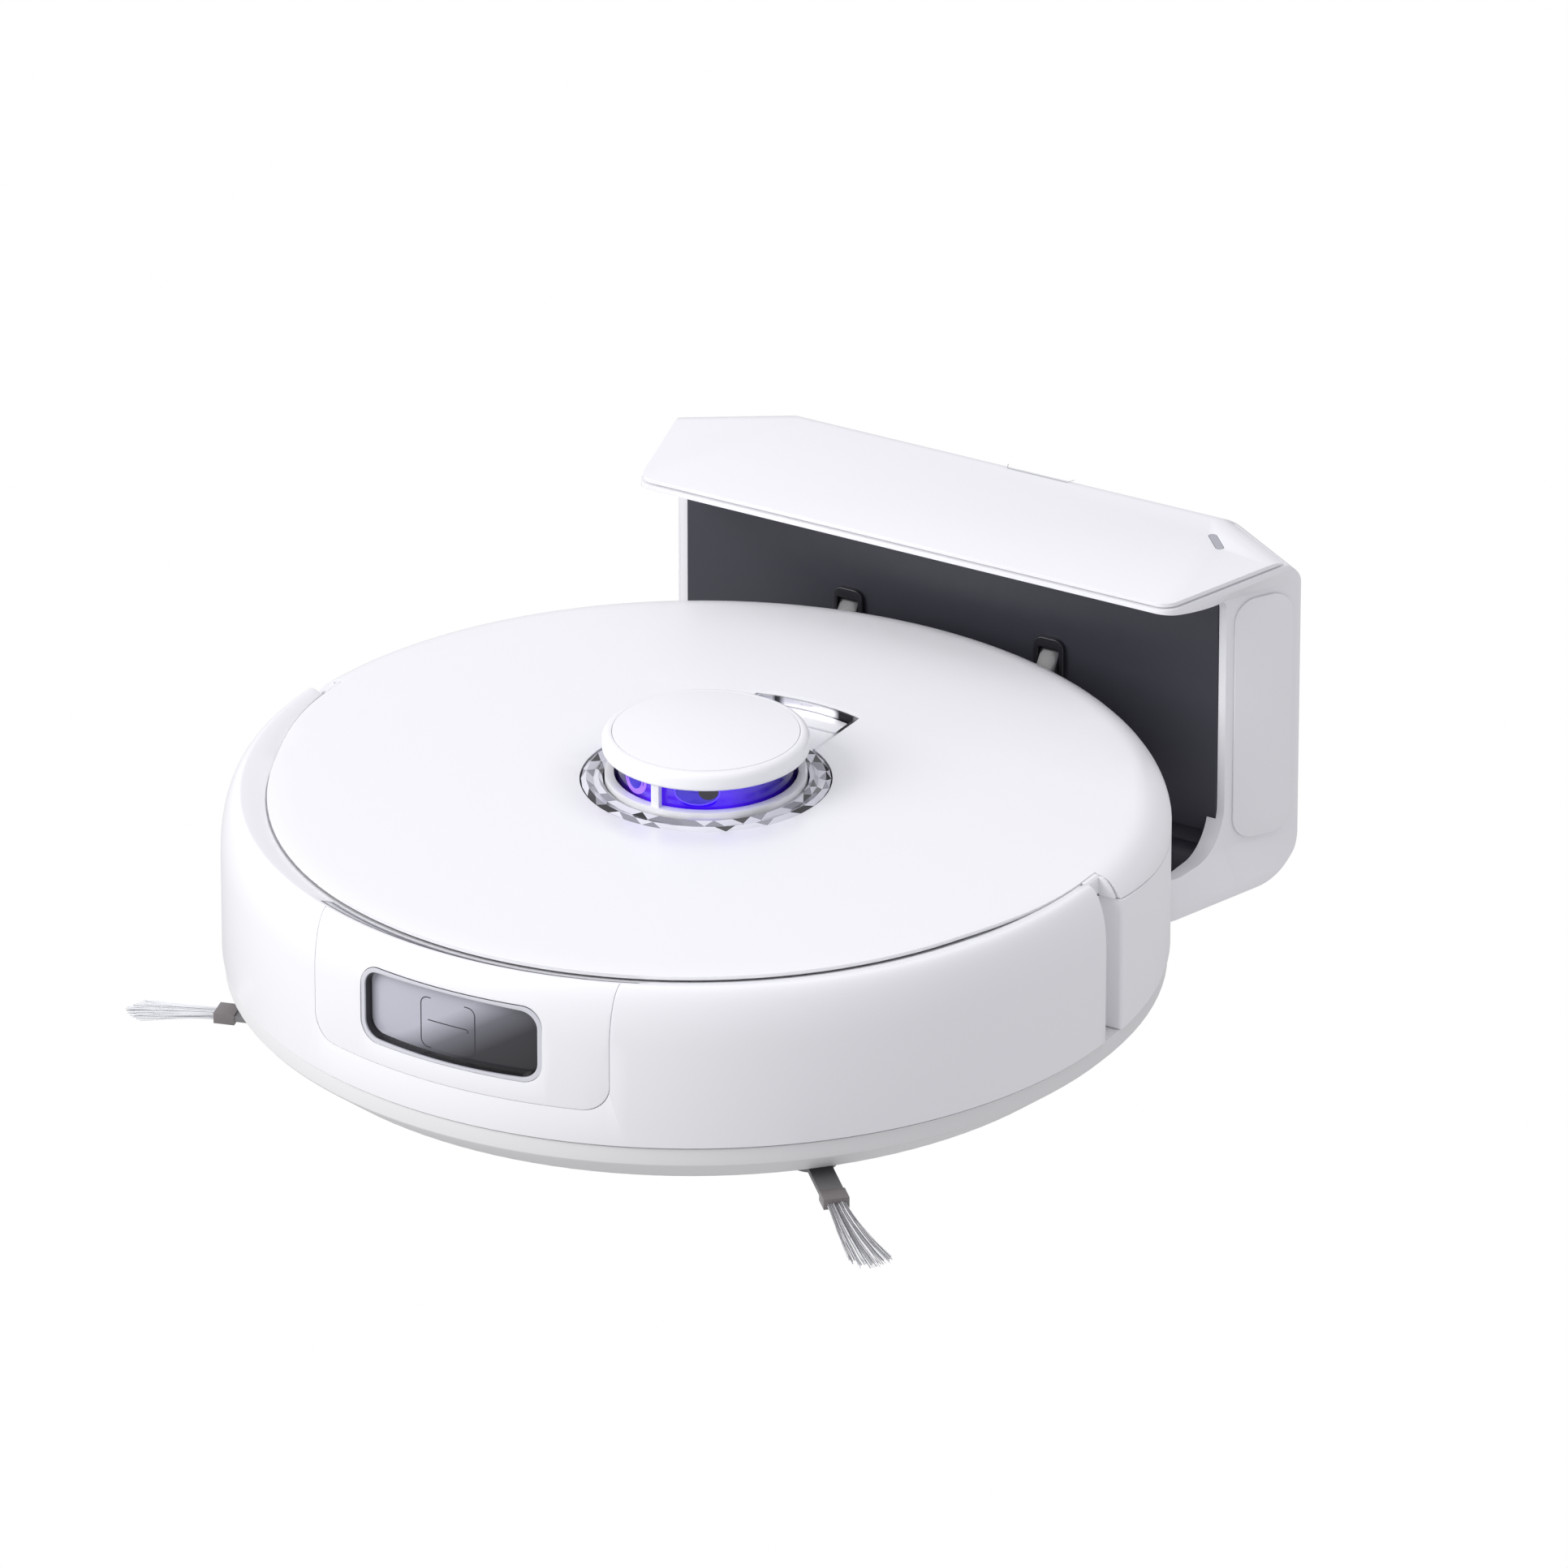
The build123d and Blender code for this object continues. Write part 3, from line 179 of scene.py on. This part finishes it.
GROOVE_GREY = plastic("groove_shadow", (0.045, 0.045, 0.052), 0.5)
LENS_BLACK = plastic("lens_black", (0.004, 0.003, 0.012), 0.08, 0.8)
# the lens rims and lenses glow as painted light; they are no lamps
LENS_PINK = plastic("lens_rim_pink", (0.30, 0.14, 0.80), 0.12, 0.6, glow=(0.30, 0.12, 0.85),
                    glow_strength=0.5)
LENS_RIM = plastic("lens_rim_violet", (0.12, 0.05, 0.80), 0.12, 0.6, glow=(0.12, 0.05, 0.90),
                   glow_strength=0.5)
LENS_BLUE = plastic("lens_blue", (0.02, 0.004, 0.45), 0.10, 0.8, glow=(0.03, 0.006, 0.60),
                    glow_strength=0.35)

WINDOW_GLASS = plastic("smoked_glass", (0.25, 0.25, 0.29), 0.12, 0.3)
SIGHT_RIGHT = (0.86, 0.51, 0.0)  # level, across the robot as seen from its front right
TOWER_ACROSS = SIGHT_RIGHT[1] * TOWER.y
RECESS_ACROSS = (25.8 * MM, 61.8 * MM)  # ends of the recess behind the tower, that way

# painted reflection: the smoked window is painted palest at its left and darkest at its lower right
position_ramp(WINDOW_GLASS, (-0.62, 0.0, 1.0), 0.030, 0.104,
              [(0.0, (0.018, 0.018, 0.020)), (0.28, (0.035, 0.035, 0.040)),
               (0.42, (0.15, 0.15, 0.175)), (0.56, (0.50, 0.50, 0.57)),
               (1.0, (0.56, 0.56, 0.63))])
# painted shade in the window's recess: the bezel is pale at its lip and black deeper in, where it holds the glass
position_ramp(MATERIALS["bezel_grey"], (1.0, 1.0, 0.0), BODY_R - 1.6 * MM, BODY_R - 0.4 * MM,
              [(0.0, (0.004, 0.004, 0.005)), (0.3, (0.004, 0.004, 0.005)),
               (0.5, (0.46, 0.46, 0.52)), (1.0, (0.66, 0.66, 0.70))], radial=True)
# painted light and shade: the turret's colour and glow are painted bright in front and dark towards its sides
position_ramp(MATERIALS["turret_violet"], SIGHT_RIGHT, TOWER_ACROSS - TURRET_R,
              TOWER_ACROSS + TURRET_R,
              [(0.0, (0.002, 0.0, 0.015)), (0.08, (0.02, 0.002, 0.16)),
               (0.22, (0.10, 0.02, 0.80)), (0.40, (0.045, 0.004, 0.62)),
               (0.62, (0.07, 0.01, 0.80)), (0.84, (0.02, 0.002, 0.30)),
               (1.0, (0.002, 0.0, 0.02))], sockets=("Base Color", "Emission Color"))
# the recess's bright walls are painted dark near both ends, where they would mirror shade
position_ramp(MATERIALS["chrome_trim"], SIGHT_RIGHT, *RECESS_ACROSS,
              [(0.0, (0.80, 0.80, 0.83)), (0.09, (0.80, 0.80, 0.83)),
               (0.13, (0.04, 0.04, 0.045)), (0.17, (0.10, 0.10, 0.11)),
               (0.23, (0.90, 0.90, 0.93)), (0.72, (0.90, 0.90, 0.93)),
               (0.79, (0.02, 0.02, 0.024)), (0.93, (0.02, 0.02, 0.024)),
               (1.0, (0.80, 0.80, 0.84))])


def cover_dish(material):
    """A faint dish round the tower, as bump only."""
    tree = material.node_tree
    place = tree.nodes.new("ShaderNodeTexCoord")
    from_tower = tree.nodes.new("ShaderNodeVectorMath")
    from_tower.operation = "SUBTRACT"
    from_tower.inputs[1].default_value = (TOWER.x, TOWER.y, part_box("top_cover")[1].z)
    distance = tree.nodes.new("ShaderNodeVectorMath")
    distance.operation = "LENGTH"
    slope = tree.nodes.new("ShaderNodeMapRange")
    slope.interpolation_type = "SMOOTHSTEP"
    slope.inputs["From Min"].default_value = RING_OUT
    slope.inputs["From Max"].default_value = RING_OUT + 15 * MM
    bump = tree.nodes.new("ShaderNodeBump")
    bump.inputs["Strength"].default_value = 0.5
    bump.inputs["Distance"].default_value = 1.2 * MM
    tree.links.new(place.outputs["Object"], from_tower.inputs[0])
    tree.links.new(from_tower.outputs["Vector"], distance.inputs[0])
    tree.links.new(distance.outputs["Value"], slope.inputs["Value"])
    tree.links.new(slope.outputs["Result"], bump.inputs["Height"])
    tree.links.new(bump.outputs["Normal"], tree.nodes["Principled BSDF"].inputs["Normal"])


# --------------------------------------------------------------------------------------------
# Finish of the CAD nodes
# --------------------------------------------------------------------------------------------
SMOOTH_ANGLE = math.radians(32)
SLOT_OF = {row["node"]: row["material_slot"] for row in frame["record"]["subparts"]}
ROUNDED = {
    "top_cover": 0.5, "bumper_shell": 0.5, "rear_side_shell": 0.5, "lower_skirt": 0.4,
    "front_panel": 0.15, "window_bezel": 0.35, "lidar_cage": 0.3, "lidar_cap": 0.3,
    "home_button": 0.3, "button_surround": 0.3, "dock_shell": 0.6, "dock_cheeks": 0.4,
    "dock_roof": 0.2, "dock_liner": 0.4, "contact_mounts": 0.3, "left_contact": 0.5,
    "right_contact": 0.5, "left_brush_arms": 0.5, "right_brush_arms": 0.5,
}


def finish_node(node, piece):
    """Material, smooth shading and softened edges of one CAD node."""
    piece.data.materials.clear()
    piece.data.materials.append(MATERIALS[SLOT_OF[node]])
    weld = piece.modifiers.new("weld", "WELD")
    weld.merge_threshold = 2e-6
    if node in ROUNDED:
        bevel = piece.modifiers.new("soft_edges", "BEVEL")
        bevel.width = ROUNDED[node] * MM
        bevel.segments = 3
        bevel.limit_method = "ANGLE"
        bevel.angle_limit = SMOOTH_ANGLE
        bevel.use_clamp_overlap = True
        bevel.harden_normals = False
    piece.data.polygons.foreach_set("use_smooth", [True] * len(piece.data.polygons))
    split = piece.modifiers.new("crisp_edges", "EDGE_SPLIT")
    split.split_angle = SMOOTH_ANGLE


def paint_clamps(node, joint):
    """The sleeves that hold the bristles are darker than the arms."""
    piece = NODES[node]
    piece.data.materials.append(CLAMP)
    hub = joint_centre(joint)
    for face in piece.data.polygons:
        away = face.center - hub
        if math.hypot(away.x, away.y) > CLAMP_START:
            face.material_index = 1


# --------------------------------------------------------------------------------------------
# Pieces made here
# --------------------------------------------------------------------------------------------
def build(name, points, faces, body, materials, shades=None, smooth=False):
    """A mesh piece that rides on a body."""
    mesh = bpy.data.meshes.new(name)
    mesh.from_pydata(points, [], faces)
    for material in materials:
        mesh.materials.append(material)
    if shades:
        mesh.polygons.foreach_set("material_index", shades)
    mesh.polygons.foreach_set("use_smooth", [smooth] * len(mesh.polygons))
    mesh.update()
    piece = bpy.data.objects.new(name, mesh)
    bpy.context.scene.collection.objects.link(piece)
    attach(piece, body)
    return piece


def ring_point(radius, turn, height):
    """A point round the lidar tower's axis."""
    return (TOWER.x + radius * math.cos(turn), TOWER.y + radius * math.sin(turn), height)


def crystal_ring():
    """The faceted clear ring, cut in triangles like a gem."""
    count = 36
    step = 2 * math.pi / count
    low, high = RING_LOW.z, RING_HIGH.z
    circles = [
        (RING_OUT, high - 4.0 * MM, 0.0),
        (RING_OUT, high - 0.8 * MM, 0.0),
        (RING_OUT - 1.8 * MM, high + 0.5 * MM, 0.5),
        (RING_OUT - 4.6 * MM, high - 0.5 * MM, 0.0),
        (RING_OUT - 6.4 * MM, high + 0.9 * MM, 0.5),
        (RING_OUT - 7.9 * MM, high + 0.2 * MM, 0.0),
        (RING_OUT - 7.9 * MM, low, 0.0),
    ]
    points = [ring_point(radius, (index + offset) * step, height)
              for radius, height, offset in circles for index in range(count)]
    faces = []
    for row in range(len(circles) - 1):
        inner_first = circles[row + 1][2] < circles[row][2]
        for index in range(count):
            a = row * count + index
            b = row * count + (index + 1) % count
            c = a + count
            d = b + count
            if circles[row + 1][2] == circles[row][2]:
                faces.append((a, b, d, c))
            elif inner_first:
                faces += [(a, b, d), (a, d, c)]
            else:
                faces += [(a, b, c), (b, d, c)]
    last = (len(circles) - 1) * count
    for index in range(count):
        after = (index + 1) % count
        faces.append((last + index, last + after, after, index))
    # painted reflections: black, grey and violet facets are scattered at random, with violet only among the front
    # facets
    draw = random.Random(11)
    shades = []
    for face in faces:
        centre = sum((Vector(points[corner]) for corner in face), Vector()) / len(face)
        facing = centre.y < TOWER.y - 20 * MM and centre.z < high - 1.5 * MM
        choices = [0, 0, 1, 1, 2, 2, 3] if facing else [0, 0, 0, 1, 2, 2]
        shades.append(draw.choice(choices))
    piece = build("crystal_facets", points, faces, "chassis",
                  [MATERIALS["crystal"], FACET_BLACK, FACET_GREY, FACET_VIOLET], shades)
    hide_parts("crystal_ring")


def disc_on_turret(name, turn_deg, height, wide, tall, lift, material):
    """A rounded lens lying on the turret's curved side."""
    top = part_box("lidar_turret")[1].z - 0.2 * MM
    count = 28
    layers = []
    for radius in (TURRET_R + lift, TURRET_R - 0.6 * MM):
        for index in range(count):
            angle = 2 * math.pi * index / count
            turn = math.radians(turn_deg) + wide / 2 * math.cos(angle) / TURRET_R
            z = min(height + tall / 2 * math.sin(angle), top)
            layers.append((radius, turn, z))
        layers.append((radius, math.radians(turn_deg), min(height, top)))
    points = [ring_point(*layer) for layer in layers]
    outer, inner = count, 2 * count + 1
    faces = []
    for index in range(count):
        after = (index + 1) % count
        faces += [(outer, index, after), (inner, after + count + 1, index + count + 1),
                  (index, index + count + 1, after + count + 1, after)]
    build(name, points, faces, "turret", [material])


# name, direction in degrees, height, width, height of the oval, lift, material
LENSES = (
    ("emitter_rim", -112, 101.5 * MM, 13.0 * MM, 11.4 * MM, 0.10 * MM, LENS_PINK),
    ("emitter_lens", -112, 101.6 * MM, 7.4 * MM, 7.6 * MM, 0.18 * MM, LENS_BLUE),
    ("receiver_rim", -65, 101.6 * MM, 17.4 * MM, 9.8 * MM, 0.10 * MM, LENS_RIM),
    ("receiver_lens", -65, 101.6 * MM, 16.2 * MM, 8.8 * MM, 0.18 * MM, LENS_BLUE),
    ("receiver_pupil", -57.5, 102.4 * MM, 7.4 * MM, 6.6 * MM, 0.26 * MM, LENS_BLACK),
)


def band(name, outline, width, place, body, material, lift=0.06 * MM):
    """A thin raised line along an open or closed outline.

    place() turns each (u, v) into a point and a normal."""
    points = []
    faces = []
    count = len(outline)
    closed = outline[0] == outline[-1]
    span = count - 1 if closed else count
    for index in range(span):
        before = outline[(index - 1) % span] if closed else outline[max(index - 1, 0)]
        after = outline[(index + 1) % span] if closed else outline[min(index + 1, span - 1)]
        along = Vector(after) - Vector(before)
        side = Vector((-along.y, along.x)).normalized() * (width / 2)
        for sign in (-1, 1):
            spot, normal = place(outline[index][0] + sign * side.x,
                                 outline[index][1] + sign * side.y)
            points.append(spot + normal * lift)
            points.append(spot - normal * lift)
    stretches = span if closed else span - 1
    for index in range(stretches):
        a = 4 * index
        b = 4 * ((index + 1) % span)
        faces += [(a, b, b + 2, a + 2), (a + 1, a + 3, b + 3, b + 1),
                  (a, a + 1, b + 1, b), (a + 2, b + 2, b + 3, a + 3)]
    if not closed:
        end = 4 * (span - 1)
        faces += [(0, 2, 3, 1), (end, end + 1, end + 3, end + 2)]
    build(name, points, faces, body, [material])


def rounded_outline(centre, wide, tall, radius):
    """A closed rounded rectangle as (u, v) points."""
    points = []
    corners = ((1, 1, 0), (-1, 1, 90), (-1, -1, 180), (1, -1, 270))
    for sx, sy, start in corners:
        for turn in range(0, 91, 15):
            angle = math.radians(start + turn)
            points.append((centre[0] + sx * (wide / 2 - radius) + radius * math.cos(angle),
                           centre[1] + sy * (tall / 2 - radius) + radius * math.sin(angle)))
    points.append(points[0])
    return points


def on_glass(u, v):
    """Point and normal on the curved window at sideways u and height v."""
    depth = math.sqrt(PANE_R ** 2 - u ** 2)
    return Vector((u, -depth, v)), Vector((u, -depth, 0)).normalized()


def flat_at(height):
    """A place() for lines that lie on a level face."""
    def place(u, v):
        return Vector((u, v, height)), Vector((0, 0, 1))
    return place


def front_glass():
    """The smoked window, a curved pane set a little behind the bezel's lip."""
    low, high = GLASS_LOW.z + 1.3 * MM, GLASS_HIGH.z - 1.3 * MM
    half = GLASS_HIGH.x - 1.4 * MM
    corner = 6.4 * MM
    thickness = 1.2 * MM
    outline = rounded_outline((0.0, (low + high) / 2), 2 * half, high - low, corner)[:-1]
    rim = [on_glass(u, v) for u, v in outline]
    points = [spot for spot, normal in rim] + [spot - normal * thickness for spot, normal in rim]
    count = len(rim)
    columns = 24
    grid_start = len(points)
    faces = [(index, (index + 1) % count, (index + 1) % count + count, index + count)
             for index in range(count)]
    for column in range(columns + 1):
        u = half * (2 * column / columns - 1)
        edge = max(abs(u) - (half - corner), 0.0)
        trim = corner - math.sqrt(max(corner ** 2 - edge ** 2, 0.0))
        for v in (low + trim, high - trim):
            points.append(on_glass(u, v)[0])
    for column in range(columns):
        a = grid_start + 2 * column
        faces.append((a, a + 2, a + 3, a + 1))
    piece = build("front_window_pane", points, faces, "bumper",
                  [WINDOW_GLASS], smooth=True)
    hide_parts("window_glass")


def window_details():
    """The sensor module's outline and slot, seen through the smoked window."""
    middle_z = (GLASS_LOW.z + GLASS_HIGH.z) / 2
    width = 0.40 * MM
    module = rounded_outline((-1.5 * MM, middle_z - 1.8 * MM), 23 * MM, 20 * MM, 3 * MM)
    band("module_outline", module, width, on_glass, "bumper", GROOVE_GREY)
    slot_z = middle_z - 0.8 * MM
    slot = [(-10 * MM, slot_z), (-4 * MM, slot_z), (2 * MM, slot_z), (6.4 * MM, slot_z),
            (7.2 * MM, slot_z - 0.5 * MM), (7.0 * MM, slot_z - 1.4 * MM)]
    band("module_slot", slot, width, on_glass, "bumper", GROOVE_GREY)


def strip_edge():
    """A dark line where the smoked strip meets the bumper's crest."""
    low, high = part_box("top_strip")
    radius = -low.y - 0.15 * MM
    outline = []
    for turn in range(-24, 25, 2):
        angle = math.radians(turn)
        outline.append((radius * math.sin(angle), -radius * math.cos(angle)))
    band("strip_edge_line", outline, 0.5 * MM, flat_at(high.z - 0.05 * MM), "bumper",
         GROOVE_GREY, lift=0.08 * MM)


def channel_cap(name, side):
    """The rear shell's lip at the top of the channel beside the bumper, up to the cover."""
    inner = [(162.8, 84.1), (162.8, 91.0), (164.2, 90.9), (165.0, 90.3), (165.2, 89.2),
             (165.2, 84.1)]
    end = [(165.2, 83.4), (165.2, 90.6), (166.6, 90.4), (168.4, 89.2), (170.2, 87.0),
           (171.4, 84.8), (171.9, 83.4)]
    points = []
    faces = []
    for profile, near, far in ((inner, 4.8 * MM, 14.3 * MM), (end, 13.2 * MM, 14.3 * MM)):
        start = len(points)
        count = len(profile)
        points += [(side * x * MM, y, z * MM) for y in (near, far) for x, z in profile]
        faces.append(tuple(range(start, start + count)))
        faces.append(tuple(reversed(range(start + count, start + 2 * count))))
        for index in range(count):
            after = (index + 1) % count
            faces.append((start + index, start + index + count, start + after + count,
                          start + after))
    build(name, points, faces, "chassis", [MATERIALS["white_gloss"]])


def home_icon():
    """A plain house outline printed on the button."""
    x, y, size = -5 * MM, middle("home_button").y - 0.4 * MM, 1.5 * MM
    house = [(x - size, y - size), (x + size, y - size), (x + size, y + 0.4 * size),
             (x, y + 1.3 * size), (x - size, y + 0.4 * size), (x - size, y - size)]
    band("house_icon", house, 0.32 * MM, flat_at(BUTTON_TOP), "button",
         LINE_GREY, lift=0.03 * MM)


def roof_lines():
    """Fine joint lines on top of the dock."""
    tab_x, tab_half = 14 * MM, 13 * MM
    back = ROOF_HIGH.y
    depth = 3.2 * MM
    tab = [(tab_x - tab_half - 1.5 * MM, back), (tab_x - tab_half, back - depth),
           (tab_x + tab_half, back - depth), (tab_x + tab_half + 1.5 * MM, back)]
    band("roof_tab_line", tab, 0.3 * MM, flat_at(ROOF_HIGH.z), "dock", LINE_GREY,
         lift=0.03 * MM)


def strand(points, faces, path, radius):
    """Adds one thin four-sided filament along a path and returns how many faces it took."""
    start = len(points)
    for index, spot in enumerate(path):
        ahead = path[min(index + 1, len(path) - 1)] - path[max(index - 1, 0)]
        side = ahead.cross(Vector((0, 0, 1))).normalized() * radius
        rise = side.cross(ahead).normalized() * radius
        points.extend([spot + side, spot + rise, spot - side, spot - rise])
    for index in range(len(path) - 1):
        for corner in range(4):
            a = start + 4 * index + corner
            b = start + 4 * index + (corner + 1) % 4
            faces.append((a, b, b + 4, a + 4))
    end = start + 4 * (len(path) - 1)
    faces.append((start, start + 3, start + 2, start + 1))
    faces.append((end, end + 1, end + 2, end + 3))
    return 4 * (len(path) - 1) + 2


def bristles(side, joint, body, reach, sweep, seed):
    """Two fanned tufts of nylon filaments at the ends of a side brush's arms."""
    hub = joint_centre(joint)
    low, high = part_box(side + "_bristles")
    angle = BRUSH_ANGLES[side]
    draw = random.Random(seed)
    points, faces, shades = [], [], []
    for turn in (angle, angle + math.pi):
        out = Vector((math.cos(turn), math.sin(turn), 0))
        across = Vector((-out.y, out.x, 0))
        for number in range(STRANDS_PER_TUFT):
            fan = 2 * (number + 0.5) / STRANDS_PER_TUFT - 1
            fan += draw.uniform(-0.08, 0.08)
            layer = draw.uniform(-1, 1)
            length = reach * (1 - 0.06 * abs(fan)) * draw.uniform(0.94, 1.0)
            path = []
            for step in range(9):
                t = step / 8
                r = FILAMENT_START + (length - FILAMENT_START) * t
                sideways = fan * (3.3 + 4.6 * t ** 1.5) * MM
                sideways += sweep * t ** 2 + draw.uniform(-0.12, 0.12) * t * MM
                height = high.z - 1.6 * MM + layer * (1.1 - 0.4 * t) * MM
                height -= (high.z - low.z - 3.0 * MM) * t ** 1.4
                spot = Vector((hub.x, hub.y, 0)) + out * r + across * sideways
                path.append(Vector((spot.x, spot.y, max(height, 0.4 * MM))))
            added = strand(points, faces, path, FILAMENT_R)
            shades += [1 if draw.random() < DARK_SHARE[side] else 0] * added
    piece = build(side + "_filaments", points, faces, body,
                  [MATERIALS["bristle_nylon"], BRISTLE_DARK], shades)
    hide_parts(side + "_bristles")


def arm_angle(side, joint):
    """Direction in which a side brush's front arm points at rest, from the tip of that arm."""
    hub = joint_centre(joint)
    front = [vertex.co - hub for vertex in NODES[side + "_brush_arms"].data.vertices
             if vertex.co.y < hub.y]
    reach = max(spot.xy.length for spot in front)
    tip = [spot for spot in front if spot.xy.length > 0.92 * reach]
    mean = sum(tip, Vector()) / len(tip)
    return math.atan2(mean.y, mean.x)


# painted shade: the share of filaments given the darker material, larger on the right brush
DARK_SHARE = {"left": 0.15, "right": 0.5}
BRUSH_ANGLES = {
    "left": arm_angle("left", "left_side_spin"),
    "right": arm_angle("right", "right_side_spin"),
}


# --------------------------------------------------------------------------------------------
# Studio
# --------------------------------------------------------------------------------------------
def seen_or_lit(tree, seen, lit, output_kind):
    """Emission that is pure white to the eye and softer as a light."""
    path = tree.nodes.new("ShaderNodeLightPath")
    mix = tree.nodes.new("ShaderNodeMixShader")
    shown = tree.nodes.new(output_kind)
    shown.inputs["Color"].default_value = (*seen[0], 1)
    shown.inputs["Strength"].default_value = seen[1]
    light = tree.nodes.new(output_kind)
    light.inputs["Color"].default_value = (*lit[0], 1)
    light.inputs["Strength"].default_value = lit[1]
    tree.links.new(path.outputs["Is Camera Ray"], mix.inputs["Fac"])
    tree.links.new(light.outputs[0], mix.inputs[1])
    tree.links.new(shown.outputs[0], mix.inputs[2])
    return mix


def studio_world():
    """An even, slightly cool sky that looks white."""
    world = bpy.data.worlds.new("studio")
    bpy.context.scene.world = world
    world.use_nodes = True
    tree = world.node_tree
    tree.nodes.remove(tree.nodes["Background"])
    mix = seen_or_lit(tree, ((1, 1, 1), 1.0), ((0.94, 0.94, 1.0), 0.70), "ShaderNodeBackground")
    tree.links.new(mix.outputs[0], tree.nodes["World Output"].inputs["Surface"])


def studio_floor():
    """A pale floor just below the feet and wheels."""
    bpy.ops.mesh.primitive_plane_add(size=40, location=(0, 0, -0.2 * MM))
    floor = bpy.context.object
    floor.name = "pale_floor"
    material = bpy.data.materials.new("pale_floor")
    material.use_nodes = True
    tree = material.node_tree
    tree.nodes.remove(tree.nodes["Principled BSDF"])
    mix = seen_or_lit(tree, ((1, 1, 1), 1.0), ((0.97, 0.97, 1.0), 0.62), "ShaderNodeEmission")
    tree.links.new(mix.outputs[0], tree.nodes["Material Output"].inputs["Surface"])
    floor.data.materials.append(material)


def soft_light(name, place, size, power):
    """A white square softbox that looks at the robot."""
    lamp = bpy.data.lights.new(name, "AREA")
    lamp.size = size
    lamp.energy = power
    holder = bpy.data.objects.new(name, lamp)
    bpy.context.scene.collection.objects.link(holder)
    holder.location = place
    holder.rotation_mode = "QUATERNION"
    holder.rotation_quaternion = (Vector((0, 0.05, 0.06)) - Vector(place)).to_track_quat(
        "-Z", "Y")


def studio_camera():
    """A long lens, 31 degrees round to the right and 25 degrees above the horizon."""
    azimuth, elevation = math.radians(30.67), math.radians(25.3)
    distance = 6.0
    right = Vector((math.cos(azimuth), math.sin(azimuth), 0))
    back = Vector((math.sin(azimuth) * math.cos(elevation),
                   -math.cos(azimuth) * math.cos(elevation), math.sin(elevation)))
    up = back.cross(right)
    lens = bpy.data.cameras.new("camera")
    lens.sensor_width = 36.0
    lens.lens = 370.0
    lens.clip_start = 0.1
    lens.clip_end = 100.0
    camera = bpy.data.objects.new("camera", lens)
    bpy.context.scene.collection.objects.link(camera)
    aim = right * 0.0337 + up * 0.0848
    camera.location = aim + back * distance
    camera.rotation_mode = "QUATERNION"
    camera.rotation_quaternion = (-back).to_track_quat("-Z", "Y")
    bpy.context.scene.camera = camera


# --------------------------------------------------------------------------------------------
# Assembly
# --------------------------------------------------------------------------------------------
for node_name, node_piece in NODES.items():
    finish_node(node_name, node_piece)
cover_dish(MATERIALS["cover_white"])
paint_clamps("left_brush_arms", "left_side_spin")
paint_clamps("right_brush_arms", "right_side_spin")
crystal_ring()
for lens in LENSES:
    disc_on_turret(*lens)
front_glass()
window_details()
strip_edge()
channel_cap("left_channel_cap", -1)
channel_cap("right_channel_cap", 1)
home_icon()
roof_lines()
bristles("left", "left_side_spin", "left_side_brush", 77 * MM, -2 * MM, 5)
bristles("right", "right_side_spin", "right_side_brush", 87 * MM, 4 * MM, 9)

studio_world()
studio_floor()
soft_light("key", (-1.9, -2.5, 1.9), 2.2, 80)
soft_light("top", (0.2, 0.3, 2.6), 2.0, 9)
studio_camera()
bpy.context.scene.view_settings.view_transform = "Standard"
bpy.context.scene.view_settings.look = "None"
